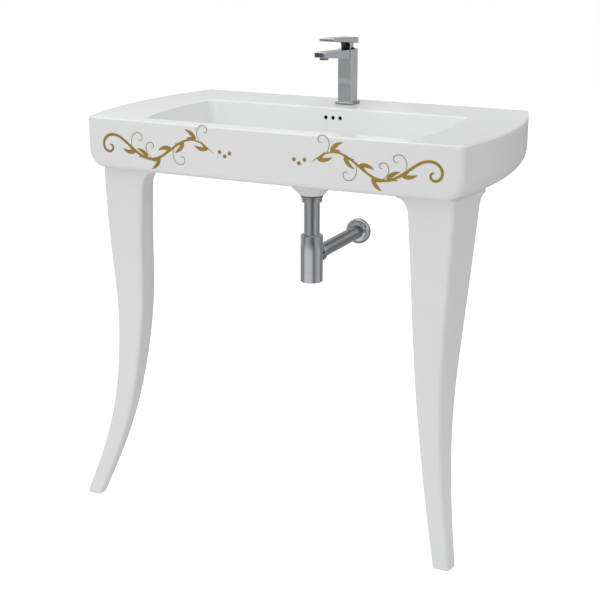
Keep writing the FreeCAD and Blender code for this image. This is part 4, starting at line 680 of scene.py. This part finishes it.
def domed_rose(material):
    """Sheet rose turned round the wall pipe: an upright rim, then a quarter ellipse.

    Outside, depth = rim + rise sin(t) and radius = hole + span cos(t); inside runs the
    same with rise and span one sheet smaller. Doubled points keep its edges crisp.
    """
    low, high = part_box("wall_rose")
    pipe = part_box("wall_pipe")
    radius, depth = (high.z - low.z) / 2, high.y - low.y
    hole = (pipe[1].z - pipe[0].z) / 2 + ROSE_GAP
    turn = np.linspace(0, np.pi / 2, 28)
    rise, span = depth - ROSE_RIM, radius - hole
    outer = np.column_stack([ROSE_RIM + rise * np.sin(turn), hole + span * np.cos(turn)])
    inner = np.column_stack([ROSE_RIM + (rise - ROSE_SHEET) * np.sin(turn),
                             hole + (span - ROSE_SHEET) * np.cos(turn)])
    profile = np.concatenate([
        [[0, radius - CRISP], [CRISP, radius]], outer[:-1],
        [[depth - CRISP, hole + CRISP], [depth - 2 * CRISP, hole]], inner[::-1],
        [[0, radius - ROSE_SHEET]]])
    steps = 96
    around = np.linspace(0, 2 * np.pi, steps, endpoint=False)[:, None]
    vertices = np.stack([
        (low.x + high.x) / 2 + profile[:, 1] * np.cos(around),
        np.broadcast_to(high.y - profile[:, 0], (steps, len(profile))),
        (low.z + high.z) / 2 + profile[:, 1] * np.sin(around)], axis=-1).reshape(-1, 3)
    index = np.arange(len(vertices)).reshape(steps, -1)
    faces = np.stack([index, np.roll(index, -1, 1), np.roll(index, (-1, -1), (0, 1)),
                      np.roll(index, -1, 0)], axis=-1).reshape(-1, 4)
    piece = closed_piece("wall_rose_turned", [(vertices, faces)], material, "washbasin")
    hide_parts("wall_rose")


class WASHBASIN_OT_fittings(Operator):
    """Finish the tap, the waste, the trap and the fixings"""
    bl_idname = "washbasin.fittings"
    bl_label = "Tap, waste and trap"

    def execute(self, context):
        look = context.scene.washbasin_metal
        chrome = chromed_brass(look)
        dress(["tap_body", "lever", "waste_body", "waste_plug", "tail_nut", "tail_pipe",
               "waste_backnut", "trap_collar", "trap_body", "trap_bottle", "outlet_nut"],
              chrome)
        domed_rose(chrome)
        # the numbers below are: metallic, roughness, size of the grain in metres, how much
        # darker it is in its spots, and its relief in metres
        # brass tube, drawn and plated without polishing: greyer, with a softer mirror
        dress(["wall_pipe", "tap_base_plate"],
              plain_finish("satin_chromed_brass", "#9C9EA2", 1, 0.16, 0.005, 0.06, 0.000003))
        # brass, plated with black chrome: the same mirror, but smoky
        dress(["aerator_housing"],
              plain_finish("black_chromed_brass", "#76787C", 1, 0.12, 0.006, 0.1, 0.000003))
        # deep black with a soft shine: a sheet of painted shade under the lever
        paint_neck_shade(plain_finish("moulded_black_abs", "#08080A", 0, 0.2, 0.003, 0.1, 0.000005))
        # ABS, injection moulded and polished: deep black with a hard shine
        dress(["cartridge_cover", "lever_screw_cap"],
              plain_finish("polished_black_abs", "#0C0C0E", 0, 0.12, 0.004, 0.1, 0.000005))
        # acetal, moulded: milky grey with a soft shine
        dress(["cartridge_body", "spindle_carrier", "aerator_insert", "push_fitting"],
              plain_finish("moulded_acetal", "#C9C8C2", 0, 0.4, 0.003, 0.06, 0.00001))
        # silicone rubber, moulded: white, a fine line between leg and basin
        squeezed_gaskets(
            plain_finish("moulded_white_silicone", "#DEDEDC", 0, 0.5, 0.002, 0.05, 0.00002))
        # brass, turned: warm and satin
        dress(["cartridge_nut", "spindle", "tap_stud_nut"],
              plain_finish("turned_brass", "#C9A765", 1, 0.28, 0.002, 0.12, 0.00001))
        # steel, zinc plated: cool grey with small spangles
        dress(["leg_bolts", "leg_washers", "leg_nuts", "tap_stud", "horseshoe_washer",
               "lever_screw", "pivot_pin"],
              plain_finish("zinc_plated_steel", "#A9ACB0", 1, 0.35, 0.003, 0.15, 0.00001))
        # EPDM rubber, moulded: near black and dull
        dress(["tap_base_seal", "horseshoe_gasket", "plug_seal",
               "waste_top_seal", "waste_lower_seal", "tail_seal", "trap_inlet_seal",
               "trap_bottle_seal", "outlet_seal"],
              plain_finish("moulded_epdm", "#1B1B1C", 0, 0.7, 0.0015, 0.2, 0.00004))
        # nylon, moulded: off-white and waxy
        dress(["leg_plugs"],
              plain_finish("moulded_nylon", "#DAD9D0", 0, 0.45, 0.003, 0.05, 0.00002))
        return {"FINISHED"}


# ------------------------------------------------------------------ studio

# place of the camera, how far it looks down, and how far it stands round to the right
CAMERA_PLACE = (1.2018, -2.5573, 1.2908)
CAMERA_DOWN, CAMERA_ROUND = math.radians(16.751), math.radians(25.782)
SENSOR_WIDTH = 36
# name, place, target, width, height
LAMPS = (
    ("key", (-0.9, -1.6, 3.0), (0, -0.1, 0.7), 2.4, 2.0),
    ("top", (0, 0.1, 2.8), (0, 0.05, 0.8), 2.2, 1.8),
    ("fill", (-0.4, -3.6, 1.3), (0, 0, 0.6), 2.4, 2.2))
# half the side of the paper floor, in metres
FLOOR_REACH = 6.0


def add_lamp(name, place, target, width, height, power):
    """White rectangular area lamp whose -Z points to a target."""
    lamp = bpy.data.lights.new(name, "AREA")
    lamp.shape = "RECTANGLE"
    lamp.size, lamp.size_y = width, height
    lamp.energy = power
    thing = bpy.data.objects.new(name, lamp)
    thing.location = place
    thing.rotation_euler = (Vector(place) - Vector(target)).to_track_quat("Z", "Y").to_euler()
    bpy.context.scene.collection.objects.link(thing)


def seen_as_background(tree):
    """1 for rays that show the background itself: camera, mirror and glass rays."""
    path = add_node(tree, "ShaderNodeLightPath").outputs
    both = add_node(tree, "ShaderNodeMath", {0: path["Is Camera Ray"], 1: path["Is Glossy Ray"]},
                    operation="MAXIMUM")
    return add_node(tree, "ShaderNodeMath", {
        0: both.outputs[0], 1: path["Is Transmission Ray"]}, operation="MAXIMUM").outputs[0]


def paper_floor():
    """Seamless white paper: matt, with fibres matted in flecks 4 mm wide.

    It lights up enough for rays that show it to be white.
    """
    material, tree = new_material("seamless_paper")
    fibres = grain(tree, 0.004, 3.0)
    colour = tint(tree, fibres.outputs["Fac"], srgb("#EDEDEC", 1), srgb("#F2F2F1", 1))
    paper = add_node(tree, "ShaderNodeBsdfDiffuse", {"Color": colour})
    glow = add_node(tree, "ShaderNodeEmission", {"Strength": 0.6})
    seen = add_node(tree, "ShaderNodeAddShader", {0: paper.outputs[0], 1: glow.outputs[0]})
    finish_material(tree, add_node(tree, "ShaderNodeMixShader", {
        0: seen_as_background(tree), 1: paper.outputs[0], 2: seen.outputs[0]}))
    return material


# cards of different greys, as for photographing polished metal: degrees round the object
# from the +x axis, and brightness there. Each band is seen by the fittings above it.
FLOOR_CARDS = [
    (-180, 0.43), (-172, 0.42), (-159, 0.55), (-145, 0.75), (-132, 1.00), (-120, 1.10),
    (-98, 1.04), (-67, 0.96), (-57, 0.60), (-46, 0.42), (-36, 0.30), (-25, 0.46), (-14, 0.62),
    (-2, 0.78), (23, 0.72), (36, 0.38), (112, 0.38), (150, 0.50)]
LOW_CARDS = [
    (-180, 0.60), (-165, 0.42), (-150, 0.34), (-138, 0.40), (-118, 0.74), (-104, 0.62),
    (-85, 0.50), (-68, 0.24), (-45, 0.19), (-36, 0.40), (-24, 0.84), (-10, 0.70), (8, 0.52),
    (30, 0.46), (48, 0.34), (100, 0.34), (125, 0.50), (151, 0.78)]
HIGH_CARDS = [
    (-180, 0.50), (-150, 0.58), (-122, 0.58), (-100, 0.60), (-60, 0.78), (-10, 0.82),
    (30, 0.74), (60, 0.68), (90, 0.66), (112, 0.50), (150, 0.55)]
TALL_CARDS = [(-180, 0.30), (50, 0.30)]
# hole of the disc that closes the lowest band, as a share of its radius; flat strips of
# each band
DISC_HOLE, CARD_STEPS = 0.02, 96
# lowest and highest level, first and last angle, tones
CARD_BANDS = (
    (0.004, 0.19, -180, 180, FLOOR_CARDS),
    (0.19, 0.68, -180, 180, LOW_CARDS),
    (0.68, 1.15, -180, 180, HIGH_CARDS),
    (1.15, 3.00, 52, 103, TALL_CARDS))


def card_paint(tones):
    """Emission whose brightness follows tones round the z axis.

    The gradient turns from 0 to 1 between -180 and 180 degrees.
    """
    material, tree = new_material("studio_cards")
    place = add_node(tree, "ShaderNodeTexCoord")
    round_angle = add_node(tree, "ShaderNodeTexGradient", {"Vector": place.outputs["Object"]},
                           gradient_type="RADIAL")
    ramp = add_node(tree, "ShaderNodeValToRGB", {"Fac": round_angle.outputs["Fac"]})
    steps = ramp.color_ramp.elements
    steps.remove(steps[-1])
    for number, (angle, tone) in enumerate(tones):
        position = angle / 360 + 0.5
        step = steps[0] if number == 0 else steps.new(position)
        step.position = position
        step.color = (tone, tone, tone, 1)
    finish_material(tree, add_node(tree, "ShaderNodeEmission", {"Color": ramp.outputs["Color"]}))
    return material


def add_card(name, loops, closed, material):
    """Card through open or closed lines of points, (lines, points, 3), for mirrors alone."""
    lines, count, _ = loops.shape
    index = np.arange(lines * count).reshape(lines, count)
    if closed:
        index = np.concatenate([index, index[:, :1]], axis=1)
    faces = np.stack([index[:-1, :-1], index[:-1, 1:], index[1:, 1:], index[1:, :-1]], axis=-1)
    mesh = bpy.data.meshes.new(name)
    mesh.from_pydata(loops.reshape(-1, 3).tolist(), [], faces.reshape(-1, 4).tolist())
    mesh.materials.append(material)
    card = bpy.data.objects.new(name, mesh)
    bpy.context.scene.collection.objects.link(card)
    card.visible_camera = False
    card.visible_diffuse = False
    card.visible_shadow = False
    card.visible_transmission = False


def card_ring(radius):
    """Bands of a cylinder wall, radius (cos t, sin t), and a disc that closes its foot."""
    for number, (low, high, first, last, tones) in enumerate(CARD_BANDS):
        whole = last - first == 360
        turn = np.radians(np.linspace(first, last, CARD_STEPS + 1))
        if whole:
            turn = turn[:-1]
        around = np.stack([np.cos(turn), np.sin(turn)], axis=1) * radius
        levels = [(1, low), (1, high)]
        if number == 0:
            levels.insert(0, (DISC_HOLE, low))
        loops = np.stack([np.column_stack([around * share, np.full(len(turn), height)])
                          for share, height in levels])
        add_card(f"studio_cards_{number}", loops, whole, card_paint(tones))


# in metres: distance, half width and half height of the flag; and where its middle shows
# on the spout's front, aside from the middle and above the aerator
FLAG_AWAY, FLAG_WIDE, FLAG_TALL = 0.6, 0.016, 0.022
FLAG_ASIDE, FLAG_ABOVE = -0.006, 0.009


def spout_flag():
    """Flag glowing dark grey that the spout's front mirrors: a painted dark reflection.

    A ray from the camera along d meets the front, whose normal is -y, and leaves along
    (dx, -dy, dz); the flag stands down that ray.
    """
    tip = np.array([FLAG_ASIDE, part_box("tap_body")[0].y,
                    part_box("aerator_housing")[1].z + FLAG_ABOVE])
    ray = tip - np.array(CAMERA_PLACE)
    ray /= np.linalg.norm(ray)
    middle = tip + FLAG_AWAY * ray * np.array([1, -1, 1])
    corners = np.array([[[-FLAG_WIDE, -FLAG_TALL], [FLAG_WIDE, -FLAG_TALL]],
                        [[-FLAG_WIDE, FLAG_TALL], [FLAG_WIDE, FLAG_TALL]]])
    loops = np.stack([middle[0] + corners[..., 0], np.full((2, 2), middle[1]),
                      middle[2] + corners[..., 1]], axis=-1)
    # a sheet glowing dark grey in patches 2 mm wide, seen only in mirrors: a painted dark
    # reflection on the spout's front
    material, tree = new_material("black_velvet")
    glow_patches = grain(tree, 0.002, 2.0)
    finish_material(tree, add_node(tree, "ShaderNodeEmission", {
        "Color": tint(tree, glow_patches.outputs["Fac"], srgb("#48484A", 1), srgb("#626264", 1))}))
    add_card("black_flag", loops, False, material)


class WASHBASIN_OT_studio(Operator):
    """Set the paper floor, lamps, sky and camera"""
    bl_idname = "washbasin.studio"
    bl_label = "Studio"

    def execute(self, context):
        look = context.scene.washbasin_studio
        scene = context.scene
        mesh = bpy.data.meshes.new("paper_floor")
        mesh.from_pydata([(x * FLOOR_REACH, y * FLOOR_REACH, 0)
                          for x, y in ((-1, -1), (1, -1), (1, 1), (-1, 1))], [], [(0, 1, 2, 3)])
        mesh.materials.append(paper_floor())
        floor = bpy.data.objects.new("paper_floor", mesh)
        scene.collection.objects.link(floor)

        card_ring(look.cards)
        spout_flag()
        for name, place, target, width, height in LAMPS:
            add_lamp(f"{name}_lamp", place, target, width, height, getattr(look, name))

        world = bpy.data.worlds.new("studio_sky")
        world.use_nodes = True
        tree = world.node_tree
        tree.nodes.clear()
        light, white = (
            add_node(tree, "ShaderNodeBackground", {
                "Color": srgb("#FFFFFF", 1), "Strength": strength})
            for strength in (look.sky, 1.0))
        mix = add_node(tree, "ShaderNodeMixShader", {
            0: seen_as_background(tree), 1: light.outputs[0], 2: white.outputs[0]})
        output = add_node(tree, "ShaderNodeOutputWorld")
        tree.links.new(mix.outputs[0], output.inputs["Surface"])
        scene.world = world

        camera = bpy.data.cameras.new("camera")
        camera.lens = look.lens
        camera.sensor_width = SENSOR_WIDTH
        eye = bpy.data.objects.new("camera", camera)
        eye.location = CAMERA_PLACE
        eye.rotation_euler = (math.pi / 2 - CAMERA_DOWN, 0, CAMERA_ROUND)
        scene.collection.objects.link(eye)
        scene.camera = eye
        scene.view_settings.view_transform = "Standard"
        return {"FINISHED"}


class WASHBASIN_PT_panel(Panel):
    """Sidebar panel with every step"""
    bl_idname = "WASHBASIN_PT_panel"
    bl_label = "Washbasin"
    bl_space_type = "VIEW_3D"
    bl_region_type = "UI"
    bl_category = "Washbasin"

    def draw(self, context):
        for operator in OPERATORS:
            self.layout.operator(operator.bl_idname)
        for name, group in GROUPS.items():
            box = self.layout.box()
            for field in group.__annotations__:
                box.prop(getattr(context.scene, name), field)


GROUPS = {
    "washbasin_ceramic": CeramicLook,
    "washbasin_gold": GoldLook,
    "washbasin_metal": MetalLook,
    "washbasin_studio": StudioLook,
}
OPERATORS = (WASHBASIN_OT_ceramic, WASHBASIN_OT_gold_vine, WASHBASIN_OT_fittings,
             WASHBASIN_OT_studio)


def register():
    for group in GROUPS.values():
        bpy.utils.register_class(group)
    for operator in OPERATORS:
        bpy.utils.register_class(operator)
    bpy.utils.register_class(WASHBASIN_PT_panel)
    for name, group in GROUPS.items():
        setattr(bpy.types.Scene, name, PointerProperty(type=group))


def unregister():
    for name in GROUPS:
        delattr(bpy.types.Scene, name)
    bpy.utils.unregister_class(WASHBASIN_PT_panel)
    for operator in reversed(OPERATORS):
        bpy.utils.unregister_class(operator)
    for group in reversed(list(GROUPS.values())):
        bpy.utils.unregister_class(group)


def main():
    """Builds everything."""
    register()
    for operator in OPERATORS:
        area, name = operator.bl_idname.split(".")
        getattr(getattr(bpy.ops, area), name)()


if __name__ == "__main__":
    main()
